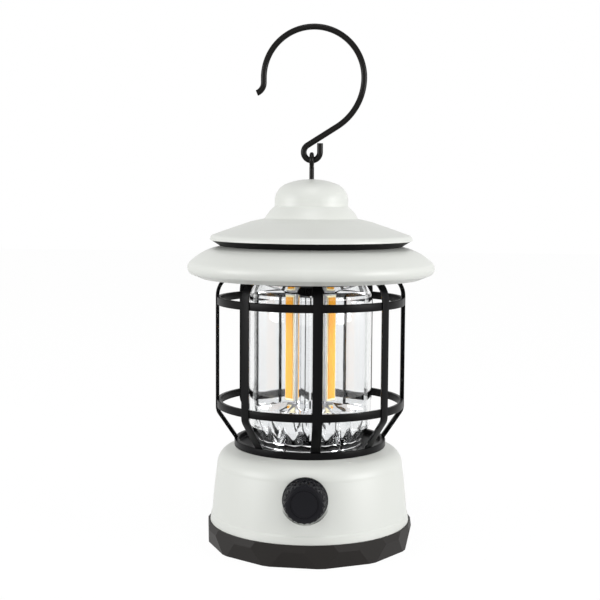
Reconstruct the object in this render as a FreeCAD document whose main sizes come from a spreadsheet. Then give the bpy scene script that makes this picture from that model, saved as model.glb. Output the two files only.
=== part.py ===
import FreeCAD, Part
import Sketcher
import math
import os
import re

# Rechargeable camping lantern: a white base with a dimmer knob, a black cage of
# eight ribs round a clear lens with four light strips, two white shades and a
# wire hook that turns in an eye on top.  Millimetres, +Z up, the front (the knob)
# faces -Y.  The origin is the centre of the foot ring's lower face.

doc = FreeCAD.newDocument("camping_lantern")

# ---------------------------------------------------------------- driving sizes
SIZES = [
    # rubber foot
    ("foot_stand", 1.6), ("foot_height", 11.3), ("foot_skirt_wall", 3.4),
    ("foot_lip_width", 4.6), ("foot_lip_height", 3.0), ("facet_count", 12),
    ("facet_crown_cut", 1.2), ("facet_floor_cut", 2.2), ("facet_crease_height", 7.9),
    ("facet_between_cut", 0.7), ("facet_turn", 24.0),
    # base housing
    ("housing_wall", 2.2), ("plinth_flare", 3.5), ("plinth_height", 3.4),
    ("plinth_draft", 0.4), ("plinth_step", 0.6), ("plinth_step_rise", 0.9),
    ("shoulder_width", 8.7), ("waist_height", 40.0), ("side_bow_radius", 300.0),
    ("shoulder_radius", 8.6), ("shoulder_inset", 4.8), ("shoulder_rise", 7.7),
    ("deck_height", 49.5), ("deck_hole_inset", 6.5),
    # cover and its posts
    ("cover_thickness", 2.4), ("cover_gap", 0.3), ("cover_groove_inset", 1.5),
    ("cover_groove_width", 1.0), ("cover_groove_depth", 0.5), ("post_radius", 4.0),
    ("post_inset", 9.8), ("post_angle", 60.0), ("cover_screw_radius", 1.5),
    ("cover_screw_length", 12.0), ("screw_head_radius", 2.7), ("screw_head_height", 1.6),
    # battery
    ("cell_radius", 9.2), ("cell_length", 65.0), ("cell_gap", 0.6), ("cell_back_shift", 7.0),
    ("cradle_wall", 1.4), ("cradle_floor", 1.4), ("cradle_height", 17.0),
    ("cell_button", 1.2), ("contact_thickness", 0.5), ("contact_size", 9.0),
    # control board and charging port
    ("board_radius", 32.5), ("board_thickness", 1.6), ("board_tab_width", 16.0),
    ("board_post_radius", 3.0), ("board_post_circle", 29.0), ("board_post_angle", 12.0),
    ("board_head_radius", 2.0), ("board_screw_radius", 1.0), ("board_screw_bite", 5.0),
    ("board_screw_length", 6.0),
    ("port_height", 36.4), ("socket_width", 9.0), ("socket_height", 3.2),
    ("socket_depth", 7.4), ("socket_wall", 0.4), ("socket_back", 1.0), ("socket_tongue", 0.7),
    ("port_inset", 1.3), ("port_block_depth", 2.5),
    ("flap_width", 13.4), ("flap_height", 7.4), ("flap_thickness", 1.1),
    ("flap_gap", 0.35), ("anchor_width", 3.2), ("anchor_stem_radius", 1.2),
    ("flap_root", 0.2), ("flap_lip_width", 1.6), ("flap_lip_rise", 0.7),
    ("plug_depth", 0.9), ("plug_gap", 0.5),
    # dimmer and knob
    ("knob_height", 32.7), ("knob_radius", 11.0), ("knob_length", 9.2),
    ("knob_gap", 0.5), ("knob_seat_stand", 0.3), ("knob_seat_margin", 1.2),
    ("knob_edge", 0.6), ("knob_flange", 1.5), ("knob_flange_step", 0.5),
    ("knob_side_radius", 9.8), ("knob_chamfer", 1.8), ("knob_face_radius", 8.0),
    ("knob_ring_radius", 6.9), ("knob_ring_width", 0.6),
    ("knob_ring_depth", 0.5), ("knob_hollow_radius", 7.2), ("knob_hollow_depth", 3.1),
    ("knob_groove_count", 36), ("knob_groove_depth", 0.35), ("knob_groove_clear", 0.2),
    ("shaft_radius", 3.0), ("shaft_tip_gap", 1.2), ("shaft_running_gap", 0.06),
    ("bush_radius", 3.9), ("bush_hole_gap", 0.1), ("bush_length", 6.4),
    ("dimmer_inset", 3.1), ("dimmer_radius", 8.0), ("dimmer_depth", 7.5),
    ("dimmer_boss_margin", 1.0), ("dimmer_tab_root", 2.0), ("dimmer_tab_reach", 1.5),
    ("dimmer_tab_thickness", 1.2), ("washer_radius", 6.2), ("washer_thickness", 0.5),
    ("nut_flats", 10.0), ("nut_thickness", 2.0),
    # cage
    ("collar_radius", 38.6), ("collar_height", 3.5), ("collar_edge", 0.5), ("collar_rim_width", 2.4),
    ("collar_floor", 0.9), ("collar_boss_radius", 2.6), ("collar_screw_inset", 5.6),
    ("collar_screw_radius", 1.25), ("collar_screw_bite", 2.5),
    ("rib_count", 8), ("cage_turn", 6.5), ("cage_radius", 48.1), ("rib_thickness", 1.8),
    ("rib_outer_width", 5.2), ("rib_inner_width", 2.8), ("rib_top_bend", 11.0),
    ("rib_low_bend", 6.0), ("rib_low_height", 67.6), ("rib_foot_inset", 1.4),
    ("rib_foot_sink", 1.5),
    ("ring_height", 3.9), ("ring_thickness", 1.9), ("ring_inset", 0.5),
    ("high_ring_height", 123.5),
    # crown that carries the lens and the shades
    ("shade_rise", 100.0), ("crown_height", 135.4), ("crown_flange", 3.0), ("crown_flange_radius", 35.8),
    ("crown_wall_inner", 29.5), ("crown_wall_outer", 34.5), ("crown_ledge", 1.6),
    ("crown_screw_circle", 32.0), ("crown_screw_radius", 1.25), ("crown_screw_grip", 5.5),
    ("case_head_radius", 2.3), ("crown_screw_turn", 45.0), ("screw_hole_gap", 0.15),
    # lens, seals
    ("lens_radius", 31.0), ("lens_wall", 1.5), ("lens_neck_inset", 4.5),
    ("lens_neck_length", 3.0), ("lens_taper_low", 7.5), ("lens_taper_high", 8.0),
    ("lens_top", 137.5), ("seal_thickness", 1.0), ("lens_seat_gap", 0.4),
    # reflectors and lights
    ("reflector_gap", 0.6), ("reflector_wall", 1.2), ("dish_rim_rise", 1.2), ("skirt_bend_rise", 0.4),
    ("dish_hub_radius", 13.0), ("dish_hole_radius", 6.0),
    ("core_low", 73.0), ("core_high", 127.6), ("ridge_gap", 1.5),
    ("core_floor", 13.4), ("core_floor_half", 3.6), ("core_bore_radius", 8.0),
    ("trough_radius", 31.0), ("ridge_land", 0.5), ("core_turn", 2.4),
    ("board_strip_width", 7.0), ("board_strip_thickness", 1.0), ("board_strip_over", 0.5),
    ("light_width", 5.4), ("light_thickness", 0.8), ("light_low", 74.0),
    ("light_high", 126.6), ("harness_radius", 2.0), ("harness_top", 120.0),
    # shades
    ("shade_radius", 62.4), ("shade_wall", 1.5), ("shade_top_radius", 45.0),
    ("shade_shoulder_inset", 1.8), ("shade_shoulder_drop", 7.4),
    ("shade_slope_bow", 28.0), ("shade_nose_bow", 3.9), ("shade_nose_drop", 13.7),
    ("shade_lip_inset", 7.2), ("shade_lip_drop", 16.1), ("shade_hole_radius", 24.0),
    ("shade_nose_reach", 0.4), ("shade_inner_drop", 1.1), ("shade_inner_inset", 1.0),
    ("spacer_thickness", 2.0), ("spacer_low_radius", 45.8), ("spacer_high_radius", 50.6),
    ("spacer_rise", 3.0), ("spacer_lip", 2.0), ("spacer_lip_wall", 1.5),
    ("dome_wall", 1.7), ("dome_edge_radius", 51.1), ("dome_edge_inset", 1.2),
    ("dome_edge_rise", 2.6), ("dome_slope_radius", 31.0), ("dome_slope_rise", 9.2),
    ("dome_crease_radius", 23.6), ("dome_crease_rise", 10.9), ("dome_neck_radius", 18.55),
    ("dome_neck_rise", 17.0), ("dome_wall_rise", 20.8), ("dome_round_radius", 13.0),
    ("dome_round_rise", 28.2), ("dome_height", 30.6),
    ("edge_bow", 3.0), ("neck_bow", 20.0), ("round_bow", 9.5), ("cap_bow", 34.0),
    ("dome_boss_radius", 3.6), ("dome_boss_length", 7.0), ("cap_flat_margin", 1.0),
    # eye and hook
    ("eye_stem_radius", 1.2), ("eye_wire_radius", 1.1), ("eye_radius", 3.1),
    ("eye_rise", 9.4), ("eye_stem_depth", 8.0), ("eye_running_gap", 0.05),
    ("eye_washer_radius", 4.0), ("eye_washer_thickness", 0.8), ("eye_nut_flats", 5.5),
    ("eye_nut_thickness", 2.4), ("eye_end_play", 0.3),
    ("hook_wire_radius", 1.5), ("hook_radius", 25.1), ("hook_rise", 37.0),
    ("hook_offset", 0.8), ("hook_shoulder_radius", 28.6), ("hook_loop_radius", 4.1),
    ("hook_tail", 4.5), ("hook_drop", 2.6), ("hook_tip_radius", 5.5), ("hook_tip_turn", 68.0),
    ("part_gap", 0.3), ("fit_gap", 0.1), ("cut_over", 1.0),
]

sheet = doc.addObject("Spreadsheet::Sheet", "Sizes")
for row, (alias, number) in enumerate(SIZES, start=1):
    sheet.set("A%d" % row, alias)
    sheet.set("B%d" % row, str(number))
    sheet.setAlias("B%d" % row, alias)
doc.recompute()

# sizes that follow from others, so that the pieces still meet when one changes
WORKED_OUT = {
    "waist_radius": "(collar_radius + shoulder_width)",
    "plinth_radius": "(waist_radius + plinth_flare)",
    "foot_radius": "(plinth_radius + foot_stand)",
    "post_circle": "(waist_radius - post_inset)",
    "port_floor": "(waist_radius - port_inset)",
    "knob_seat": "(waist_radius + knob_seat_stand)",
    "dimmer_front": "(waist_radius - dimmer_inset)",
    "collar_screw_circle": "(collar_radius - collar_screw_inset)",
    "rib_foot_radius": "(collar_radius - rib_foot_inset)",
    "rib_foot_run": "(cage_radius - rib_thickness / 2 - rib_foot_radius)",
    "rib_foot_drop": "(rib_low_height - deck_height - collar_height)",
    "rib_lean": "atan2(rib_foot_run; rib_foot_drop)",
    "rib_setback": "(rib_low_bend * tan(rib_lean / 2))",
    "low_ring_height": "(rib_low_height + rib_setback + ring_height / 2)",
    "lens_neck_radius": "(lens_radius - lens_neck_inset)",
    "deck_hole_radius": "(lens_neck_radius - deck_hole_inset)",
    "shade_shoulder_radius": "(shade_radius - shade_shoulder_inset)",
    "shade_lip_radius": "(shade_radius - shade_lip_inset)",
    "core_ridge_radius": "(lens_radius - lens_wall - ridge_gap)",
}
ALIASES = {alias for alias, number in SIZES}
WORD = re.compile(r"[A-Za-z_]\w*")
nodes = []


def spelled_out(expression):
    """The expression with each worked-out size written as what it follows from."""
    text = str(expression)
    while WORKED_OUT.keys() & set(WORD.findall(text)):
        text = WORD.sub(lambda match: WORKED_OUT.get(match.group(), match.group()), text)
    return text


def value(expression):
    """The number that an expression of sizes gives now."""
    return float(sheet.evalExpression(spelled_out(expression)))


def bound(expression):
    """The expression with each alias written as a reference to the sheet."""
    def reference(match):
        word = match.group()
        return "Sizes." + word if word in ALIASES else word
    return WORD.sub(reference, spelled_out(expression))


def turned(along, across, angle):
    """Expressions of a point given along and across a direction at an angle."""
    x = "((%s) * cos(%s) - (%s) * sin(%s))" % (along, angle, across, angle)
    y = "((%s) * sin(%s) + (%s) * cos(%s))" % (along, angle, across, angle)
    return x, y


# ------------------------------------------------------------ sketches, features
def new_body(name):
    """An empty body that becomes the node of that name."""
    body = doc.addObject("PartDesign::Body", name)
    body.Label = name
    nodes.append(body)
    return body


def new_sketch(body, plane, offset="0"):
    """A sketch on one of the body's origin planes, moved along its normal."""
    support = [item for item in body.Origin.OriginFeatures if item.Role == plane][0]
    sketch = body.newObject("Sketcher::SketchObject", body.Name + "_sketch")
    sketch.AttachmentSupport = [(support, "")]
    sketch.MapMode = "FlatFace"
    sketch.setExpression("AttachmentOffset.Base.z", bound(offset))
    return sketch


def pin_point(sketch, edge, end, x, y):
    """Ties one end of an edge to its place from the sketch's origin."""
    for kind, on_axis, text in (("DistanceX", -2, x), ("DistanceY", -1, y)):
        number = value(text)
        if abs(number) < 1e-9:
            constraint = Sketcher.Constraint("PointOnObject", edge, end, on_axis)
            sketch.addConstraint(constraint)
        elif number > 0:
            index = sketch.addConstraint(Sketcher.Constraint(kind, -1, 1, edge, end, number))
            sketch.setExpression("Constraints[%d]" % index, bound(text))
        else:
            index = sketch.addConstraint(Sketcher.Constraint(kind, edge, end, -1, 1, -number))
            sketch.setExpression("Constraints[%d]" % index, bound("-(%s)" % text))


def arc_between(start, end, radius):
    """The minor arc from start to end that bulges left (radius > 0) or right."""
    chord = end - start
    half = chord.Length / 2
    reach = math.sqrt(max(radius * radius - half * half, 0.0))
    normal = FreeCAD.Vector(-chord.y, chord.x, 0).normalize()
    side = -1 if radius > 0 else 1
    centre = (start + end) / 2 + normal * reach * side
    circle = Part.Circle(centre, FreeCAD.Vector(0, 0, 1), abs(radius))
    first, last = (end, start) if radius > 0 else (start, end)
    begin = math.atan2(first.y - centre.y, first.x - centre.x)
    finish = math.atan2(last.y - centre.y, last.x - centre.x)
    return Part.ArcOfCircle(circle, begin, finish if finish > begin else finish + 2 * math.pi)


def draw(sketch, corners, closed=True):
    """An outline through corners (x, y) or (x, y, radius of the arc that follows)."""
    places = [FreeCAD.Vector(value(c[0]), value(c[1]), 0) for c in corners]
    count = len(corners) if closed else len(corners) - 1
    ends = []
    for index in range(count):
        start, end = places[index], places[(index + 1) % len(places)]
        if len(corners[index]) == 3:
            radius = value(corners[index][2])
            edge = sketch.addGeometry(arc_between(start, end, radius))
            ends.append((edge, 2, 1) if radius > 0 else (edge, 1, 2))
            row = sketch.addConstraint(Sketcher.Constraint("Radius", edge, abs(radius)))
            sign = "" if radius > 0 else "-"
            sketch.setExpression("Constraints[%d]" % row, bound("%s(%s)" % (sign, corners[index][2])))
        else:
            edge = sketch.addGeometry(Part.LineSegment(start, end))
            ends.append((edge, 1, 2))
    for index in range(count):
        edge, first, last = ends[index]
        pin_point(sketch, edge, first, corners[index][0], corners[index][1])
        if closed or index + 1 < count:
            follower = ends[(index + 1) % count]
            sketch.addConstraint(Sketcher.Constraint("Coincident", edge, last, follower[0], follower[1]))
        else:
            pin_point(sketch, edge, last, corners[-1][0], corners[-1][1])
    return sketch


def draw_circles(sketch, places, radius):
    """One circle of that radius at each place (x, y)."""
    for x, y in places:
        centre = FreeCAD.Vector(value(x), value(y), 0)
        circle = Part.Circle(centre, FreeCAD.Vector(0, 0, 1), value(radius))
        edge = sketch.addGeometry(circle)
        pin_point(sketch, edge, 3, x, y)
        index = sketch.addConstraint(Sketcher.Constraint("Radius", edge, value(radius)))
        sketch.setExpression("Constraints[%d]" % index, bound(radius))
    return sketch


def rectangle(x_low, x_high, y_low, y_high):
    """The corners of an upright rectangle."""
    return [(x_low, y_low), (x_high, y_low), (x_high, y_high), (x_low, y_high)]


def hexagon(flats):
    """The corners of a hexagon given across its flats."""
    corner = "(%s) / (2 * cos(30))" % flats
    return [turned(corner, "0", 60 * k) for k in range(6)]


def feature(body, kind, sketch):
    """A feature of the body made from a sketch; the body then ends with it."""
    made = body.newObject("PartDesign::" + kind, body.Name + "_" + kind.lower())
    made.Profile = sketch
    return made


def revolve(body, corners, plane="XZ_Plane"):
    """Turns an outline of (radius, height) corners round the body's Z axis."""
    sketch = draw(new_sketch(body, plane), corners)
    made = feature(body, "Revolution", sketch)
    made.ReferenceAxis = (sketch, ["V_Axis"])
    made.Angle = 360
    return made


def groove(body, corners, plane="XZ_Plane"):
    """Cuts the ring that an outline sweeps round the body's Z axis."""
    sketch = draw(new_sketch(body, plane), corners)
    made = feature(body, "Groove", sketch)
    made.ReferenceAxis = (sketch, ["V_Axis"])
    made.Angle = 360
    return made


def pad(body, sketch, length, against=False):
    """Adds the sketch's area along its normal, or against it."""
    made = feature(body, "Pad", sketch)
    made.setExpression("Length", bound(length))
    made.Reversed = against
    return made


def pocket(body, sketch, length, along=False):
    """Cuts the sketch's area against its normal, or along it."""
    made = feature(body, "Pocket", sketch)
    made.setExpression("Length", bound(length))
    made.Reversed = along
    return made


def axis_of(body, role="Z_Axis"):
    """One of the body's own origin axes."""
    return [item for item in body.Origin.OriginFeatures if item.Role == role][0]


def polar(body, original, count):
    """Repeats a feature round the body's Z axis."""
    made = body.newObject("PartDesign::PolarPattern", body.Name + "_pattern")
    made.Originals = [original]
    made.Axis = (axis_of(body), [""])
    made.Angle = 360
    made.setExpression("Occurrences", bound(count))
    body.Tip = made
    return made


def face_forward(body):
    """Lays a body built along +Z on the knob's axis, pointing out of the front."""
    body.Placement = FreeCAD.Placement(FreeCAD.Vector(), FreeCAD.Rotation(FreeCAD.Vector(1, 0, 0), 90))
    body.setExpression("Placement.Base.z", bound("knob_height"))


def corners_at(circle, angles):
    """Places on a circle about Z at the given angles."""
    return [turned(circle, "0", angle) for angle in angles]


def stepped_pins(name, places, layers):
    """A node of separate pins; each layer is (radius, lower end, upper end)."""
    body = new_body(name)
    for radius, low, high in layers:
        sketch = draw_circles(new_sketch(body, "XY_Plane", low), places, radius)
        pad(body, sketch, "(%s) - (%s)" % (high, low))
    return body


COVER_POSTS = corners_at("post_circle", ["post_angle", "180 - post_angle",
                                         "180 + post_angle", "-post_angle"])
BOARD_POSTS = corners_at("board_post_circle", ["-board_post_angle", "180 + board_post_angle"])
COLLAR_SCREWS = corners_at("collar_screw_circle", [45 + 90 * k for k in range(4)])
CROWN_SCREWS = corners_at("crown_screw_circle", ["crown_screw_turn + %d" % (90 * k) for k in range(4)])

SKIRT_RADIUS = "(foot_radius - foot_skirt_wall)"
COVER_RADIUS = "(foot_radius - foot_skirt_wall - foot_lip_width - cover_gap)"
COVER_TOP = "(foot_lip_height + cover_thickness - part_gap)"
COVER_LOW = "(foot_lip_height - part_gap)"
DECK_LOW = "(deck_height - housing_wall)"
BOARD_LOW = "(port_height + socket_height / 2)"
BOARD_TOP = "(port_height + socket_height / 2 + board_thickness)"


# ------------------------------------------------------------------------- base
def make_foot_ring():
    """Rubber ring round the base's lower edge, with a band of gem-like facets."""
    body = new_body("foot_ring")
    revolve(body, [
        ("foot_radius - foot_skirt_wall - foot_lip_width", "0"),
        ("foot_radius", "0"), ("foot_radius", "foot_height"),
        (SKIRT_RADIUS, "foot_height"), (SKIRT_RADIUS, "foot_lip_height"),
        ("foot_radius - foot_skirt_wall - foot_lip_width", "foot_lip_height")])
    over, under = "foot_height + cut_over", "-cut_over"
    main = draw(new_sketch(body, "XZ_Plane"), [
        ("foot_radius - facet_floor_cut", under), ("foot_radius + cut_over", under),
        ("foot_radius + cut_over", over), ("foot_radius - facet_crown_cut", over),
        ("foot_radius - facet_crown_cut / 4", "facet_crease_height")])
    cut = pocket(body, main, "foot_radius / 2")
    cut.Midplane = True
    polar(body, cut, "facet_count")
    between = new_sketch(body, "XZ_Plane")
    half_step = FreeCAD.Rotation(FreeCAD.Vector(0, 1, 0), value("180 / facet_count"))
    between.AttachmentOffset = FreeCAD.Placement(FreeCAD.Vector(), half_step)
    between.setExpression("AttachmentOffset.Rotation.Angle", bound("180 / facet_count"))
    draw(between, rectangle("foot_radius - facet_between_cut", "foot_radius + cut_over", under, over))
    side = pocket(body, between, "foot_radius / 2")
    side.Midplane = True
    polar(body, side, "facet_count")
    body.setExpression("Placement.Rotation.Angle", bound("facet_turn"))
    return body


def make_base_housing():
    """White shell of the base with its posts, knob seat and charging recess."""
    body = new_body("base_housing")
    top = "foot_height + plinth_height"
    ledge = top + " + plinth_step_rise"
    shoulder = "waist_radius - shoulder_inset"
    inner_skirt = "foot_radius - foot_skirt_wall - housing_wall"
    revolve(body, [
        (SKIRT_RADIUS + " - fit_gap", "foot_lip_height"), (SKIRT_RADIUS + " - fit_gap", "foot_height"),
        ("plinth_radius", "foot_height"), ("plinth_radius - plinth_draft", top),
        ("plinth_radius - plinth_draft - plinth_step", ledge, "-side_bow_radius"),
        ("waist_radius", "waist_height", "-shoulder_radius"),
        (shoulder, "waist_height + shoulder_rise"),
        ("collar_radius", "deck_height"), ("deck_hole_radius", "deck_height"),
        ("deck_hole_radius", DECK_LOW), ("collar_radius", DECK_LOW),
        (shoulder + " - housing_wall / 2", "waist_height + shoulder_rise - housing_wall",
         "shoulder_radius - housing_wall / 2"),
        ("waist_radius - housing_wall", "waist_height"),
        (inner_skirt, "foot_height"), (inner_skirt, "foot_lip_height")])
    posts = draw_circles(new_sketch(body, "XY_Plane", COVER_TOP), COVER_POSTS, "post_radius")
    pad(body, posts, "%s - %s" % (DECK_LOW, COVER_TOP) + " + housing_wall / 2")
    stubs = draw_circles(new_sketch(body, "XY_Plane", BOARD_TOP), BOARD_POSTS, "board_post_radius")
    pad(body, stubs, "%s - %s" % (DECK_LOW, BOARD_TOP) + " + housing_wall / 2")
    boss = draw_circles(new_sketch(body, "XZ_Plane", "dimmer_front"),
                        [("0", "knob_height")], "dimmer_radius + dimmer_boss_margin")
    pad(body, boss, "port_block_depth")
    half_block = "((flap_width + anchor_width + flap_gap) / 2 + housing_wall)"
    tall_block = "(flap_height / 2 + flap_gap + housing_wall / 2)"
    block = draw(new_sketch(body, "XZ_Plane", "-(port_floor - port_block_depth)"), rectangle(
        "-" + half_block, half_block, "port_height - " + tall_block, "port_height + " + tall_block))
    pad(body, block, "port_block_depth", against=True)
    # screw holes
    holes = draw_circles(new_sketch(body, "XY_Plane", COVER_TOP), COVER_POSTS, "cover_screw_radius")
    pocket(body, holes, "cover_screw_length", along=True)
    holes = draw_circles(new_sketch(body, "XY_Plane", BOARD_TOP), BOARD_POSTS, "board_screw_radius")
    pocket(body, holes, "board_screw_length", along=True)
    holes = draw_circles(new_sketch(body, "XY_Plane", DECK_LOW), COLLAR_SCREWS,
                         "collar_screw_radius + screw_hole_gap")
    pocket(body, holes, "2 * housing_wall", along=True)
    # knob seat and the bush's hole
    seat = draw_circles(new_sketch(body, "XZ_Plane", "knob_seat"),
                        [("0", "knob_height")], "knob_radius + knob_seat_margin")
    pocket(body, seat, "knob_length", along=True)
    bore = draw_circles(new_sketch(body, "XZ_Plane", "dimmer_front - cut_over"),
                        [("0", "knob_height")], "bush_radius + bush_hole_gap")
    pocket(body, bore, "knob_length", along=True)
    # charging recess, socket window and the flap anchor's hole
    recess = draw(new_sketch(body, "XZ_Plane", "-port_floor"), rectangle(
        "-(flap_width / 2 + flap_gap)", "flap_width / 2 + flap_gap + anchor_width",
        "port_height - flap_height / 2 - flap_gap", "port_height + flap_height / 2 + flap_gap"))
    pocket(body, recess, "housing_wall * 2")
    window = draw(new_sketch(body, "XZ_Plane", "-(port_floor - port_block_depth - cut_over)"), rectangle(
        "-(socket_width / 2 + flap_gap)", "socket_width / 2 + flap_gap",
        "port_height - socket_height / 2 - flap_gap", "port_height + socket_height / 2 + flap_gap"))
    pocket(body, window, "port_block_depth + 2 * cut_over")
    anchor = draw_circles(new_sketch(body, "XZ_Plane", "-(port_floor - port_block_depth - cut_over)"),
                          [(ANCHOR_X, "port_height")], "anchor_stem_radius")
    pocket(body, anchor, "port_block_depth + 2 * cut_over")
    return body


ANCHOR_X = "(flap_width / 2 + flap_gap + anchor_width / 2)"


def make_bottom_cover():
    """Round cover that closes the base, with sunk screw holes."""
    body = new_body("bottom_cover")
    disc = draw_circles(new_sketch(body, "XY_Plane", COVER_LOW), [("0", "0")], COVER_RADIUS)
    pad(body, disc, "cover_thickness")
    groove_outer = COVER_RADIUS + " - cover_groove_inset"
    groove_inner = groove_outer + " - cover_groove_width"
    rim = draw(new_sketch(body, "XZ_Plane"), [
        (groove_inner, COVER_LOW + " - cut_over"), (groove_outer, COVER_LOW + " - cut_over"),
        (groove_outer, COVER_LOW + " + cover_groove_depth"),
        (groove_inner, COVER_LOW + " + cover_groove_depth")])
    ring = feature(body, "Groove", rim)
    ring.ReferenceAxis = (rim, ["V_Axis"])
    ring.Angle = 360
    holes = draw_circles(new_sketch(body, "XY_Plane", COVER_LOW), COVER_POSTS,
                         "cover_screw_radius + screw_hole_gap")
    pocket(body, holes, "2 * cover_thickness", along=True)
    sinks = draw_circles(new_sketch(body, "XY_Plane", COVER_LOW), COVER_POSTS,
                         "screw_head_radius + screw_hole_gap")
    pocket(body, sinks, "screw_head_height", along=True)
    return body


def make_cover_screws():
    """Four screws that hold the cover to the housing's posts."""
    head_top = COVER_LOW + " + screw_head_height"
    return stepped_pins("cover_screws", COVER_POSTS, [
        ("screw_head_radius", COVER_LOW, head_top),
        ("cover_screw_radius", head_top, COVER_TOP + " + cover_screw_length - 1")])


# ---------------------------------------------------------------------- battery
CELL_ROWS = ["(cell_back_shift - cell_radius - cell_gap / 2)",
             "(cell_back_shift + cell_radius + cell_gap / 2)"]
CELL_HEIGHT = "(%s + cradle_floor + cell_radius)" % COVER_TOP
CRADLE_HALF = "(cell_length / 2 + contact_thickness + cradle_wall)"
CRADLE_REACH = "(2 * cell_radius + cell_gap / 2 + cradle_wall)"


def make_battery_cradle():
    """Open tray on the cover that holds the two cells end to end with contacts."""
    body = new_body("battery_cradle")
    low, high = "cell_back_shift - " + CRADLE_REACH, "cell_back_shift + " + CRADLE_REACH
    tray = draw(new_sketch(body, "XY_Plane", COVER_TOP),
                rectangle("-" + CRADLE_HALF, CRADLE_HALF, low, high))
    pad(body, tray, "cradle_height")
    hollow = draw(new_sketch(body, "XY_Plane", COVER_TOP + " + cradle_floor"), rectangle(
        "-(%s - cradle_wall)" % CRADLE_HALF, "%s - cradle_wall" % CRADLE_HALF,
        low + " + cradle_wall", high + " - cradle_wall"))
    pocket(body, hollow, "cradle_height", along=True)
    return body


def make_battery_cells():
    """Two cylindrical cells that lie side by side along X."""
    body = new_body("battery_cells")
    places = [(row, CELL_HEIGHT) for row in CELL_ROWS]
    can = draw_circles(new_sketch(body, "YZ_Plane", "-cell_length / 2"), places, "cell_radius")
    pad(body, can, "cell_length - cell_button")
    button = draw_circles(new_sketch(body, "YZ_Plane", "cell_length / 2 - cell_button"),
                          places, "cell_radius / 3")
    pad(body, button, "cell_button")
    return body


def make_battery_contacts():
    """Four sprung contact plates, two at each end of the cradle."""
    body = new_body("battery_contacts")
    for side in ("-(cell_length / 2 + contact_thickness)", "cell_length / 2"):
        for row in CELL_ROWS:
            plate = draw(new_sketch(body, "YZ_Plane", side), rectangle(
                row + " - contact_size / 2", row + " + contact_size / 2",
                CELL_HEIGHT + " - contact_size / 2", CELL_HEIGHT + " + contact_size / 2"))
            pad(body, plate, "contact_thickness")
    return body


# ---------------------------------------------------------- board, charging port
def make_control_board():
    """Circuit board under the deck, with a tab that carries the charging socket."""
    body = new_body("control_board")
    disc = draw_circles(new_sketch(body, "XY_Plane", BOARD_LOW), [("0", "0")], "board_radius")
    pad(body, disc, "board_thickness")
    tab = draw(new_sketch(body, "XY_Plane", BOARD_LOW), rectangle(
        "-board_tab_width / 2", "board_tab_width / 2", "0", "port_floor - port_block_depth - part_gap"))
    pad(body, tab, "board_thickness")
    holes = draw_circles(new_sketch(body, "XY_Plane", BOARD_LOW), BOARD_POSTS,
                         "board_screw_radius + screw_hole_gap")
    pocket(body, holes, "2 * board_thickness", along=True)
    return body


def make_board_screws():
    """Two screws that hang the board from the housing's stubs."""
    return stepped_pins("board_screws", BOARD_POSTS, [
        ("board_head_radius", BOARD_LOW + " - screw_head_height", BOARD_LOW),
        ("board_screw_radius", BOARD_LOW, BOARD_TOP + " + board_screw_bite")])


def make_charging_socket():
    """Metal shell of the charging socket, open towards the rear."""
    body = new_body("charging_socket")
    half_width, half_height = "socket_width / 2", "socket_height / 2"
    mouth = "(port_floor - port_block_depth + plug_gap)"
    shell = draw(new_sketch(body, "XZ_Plane", "-(%s - socket_depth)" % mouth), rectangle(
        "-" + half_width, half_width, "port_height - " + half_height, "port_height + " + half_height))
    pad(body, shell, "socket_depth", against=True)
    cavity = draw(new_sketch(body, "XZ_Plane", "-(%s - socket_depth + socket_back)" % mouth), rectangle(
        "-(%s - socket_wall)" % half_width, half_width + " - socket_wall",
        "port_height - %s + socket_wall" % half_height, "port_height + %s - socket_wall" % half_height))
    pocket(body, cavity, "socket_depth")
    tongue = draw(new_sketch(body, "XZ_Plane", "-(%s - socket_depth + socket_back)" % mouth), rectangle(
        "-socket_width / 3", "socket_width / 3",
        "port_height - socket_tongue / 2", "port_height + socket_tongue / 2"))
    pad(body, tongue, "socket_depth - 2 * socket_back", against=True)
    return body


def make_flap_anchor():
    """Fixed end of the rubber port flap, with a stem that grips the housing."""
    body = new_body("flap_anchor")
    plate = draw(new_sketch(body, "XZ_Plane", "-port_floor"), rectangle(
        "flap_width / 2 + flap_gap", "flap_width / 2 + anchor_width",
        "port_height - flap_height / 2", "port_height + flap_height / 2"))
    pad(body, plate, "flap_thickness", against=True)
    stem = draw_circles(new_sketch(body, "XZ_Plane", "-(port_floor - port_block_depth)"),
                        [(ANCHOR_X, "port_height")], "anchor_stem_radius")
    pad(body, stem, "port_block_depth", against=True)
    return body


def make_port_flap():
    """Rubber flap over the socket, with a shallow plug and a finger lip."""
    body = new_body("port_flap")
    plate = draw(new_sketch(body, "XZ_Plane", "-port_floor"), rectangle(
        "-flap_width / 2", "flap_width / 2",
        "port_height - flap_height / 2", "port_height + flap_height / 2"))
    pad(body, plate, "flap_thickness", against=True)
    plug = draw(new_sketch(body, "XZ_Plane", "-(port_floor - plug_depth)"), rectangle(
        "-(socket_width / 2 - plug_gap)", "socket_width / 2 - plug_gap",
        "port_height - socket_height / 2", "port_height + socket_height / 2"))
    pad(body, plug, "plug_depth + flap_root", against=True)
    lip = draw(new_sketch(body, "XZ_Plane", "-(port_floor + flap_thickness - flap_root)"), rectangle(
        "-flap_width / 2", "-flap_width / 2 + flap_lip_width",
        "port_height - flap_height / 4", "port_height + flap_height / 4"))
    pad(body, lip, "flap_lip_rise + flap_root", against=True)
    return body


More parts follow.
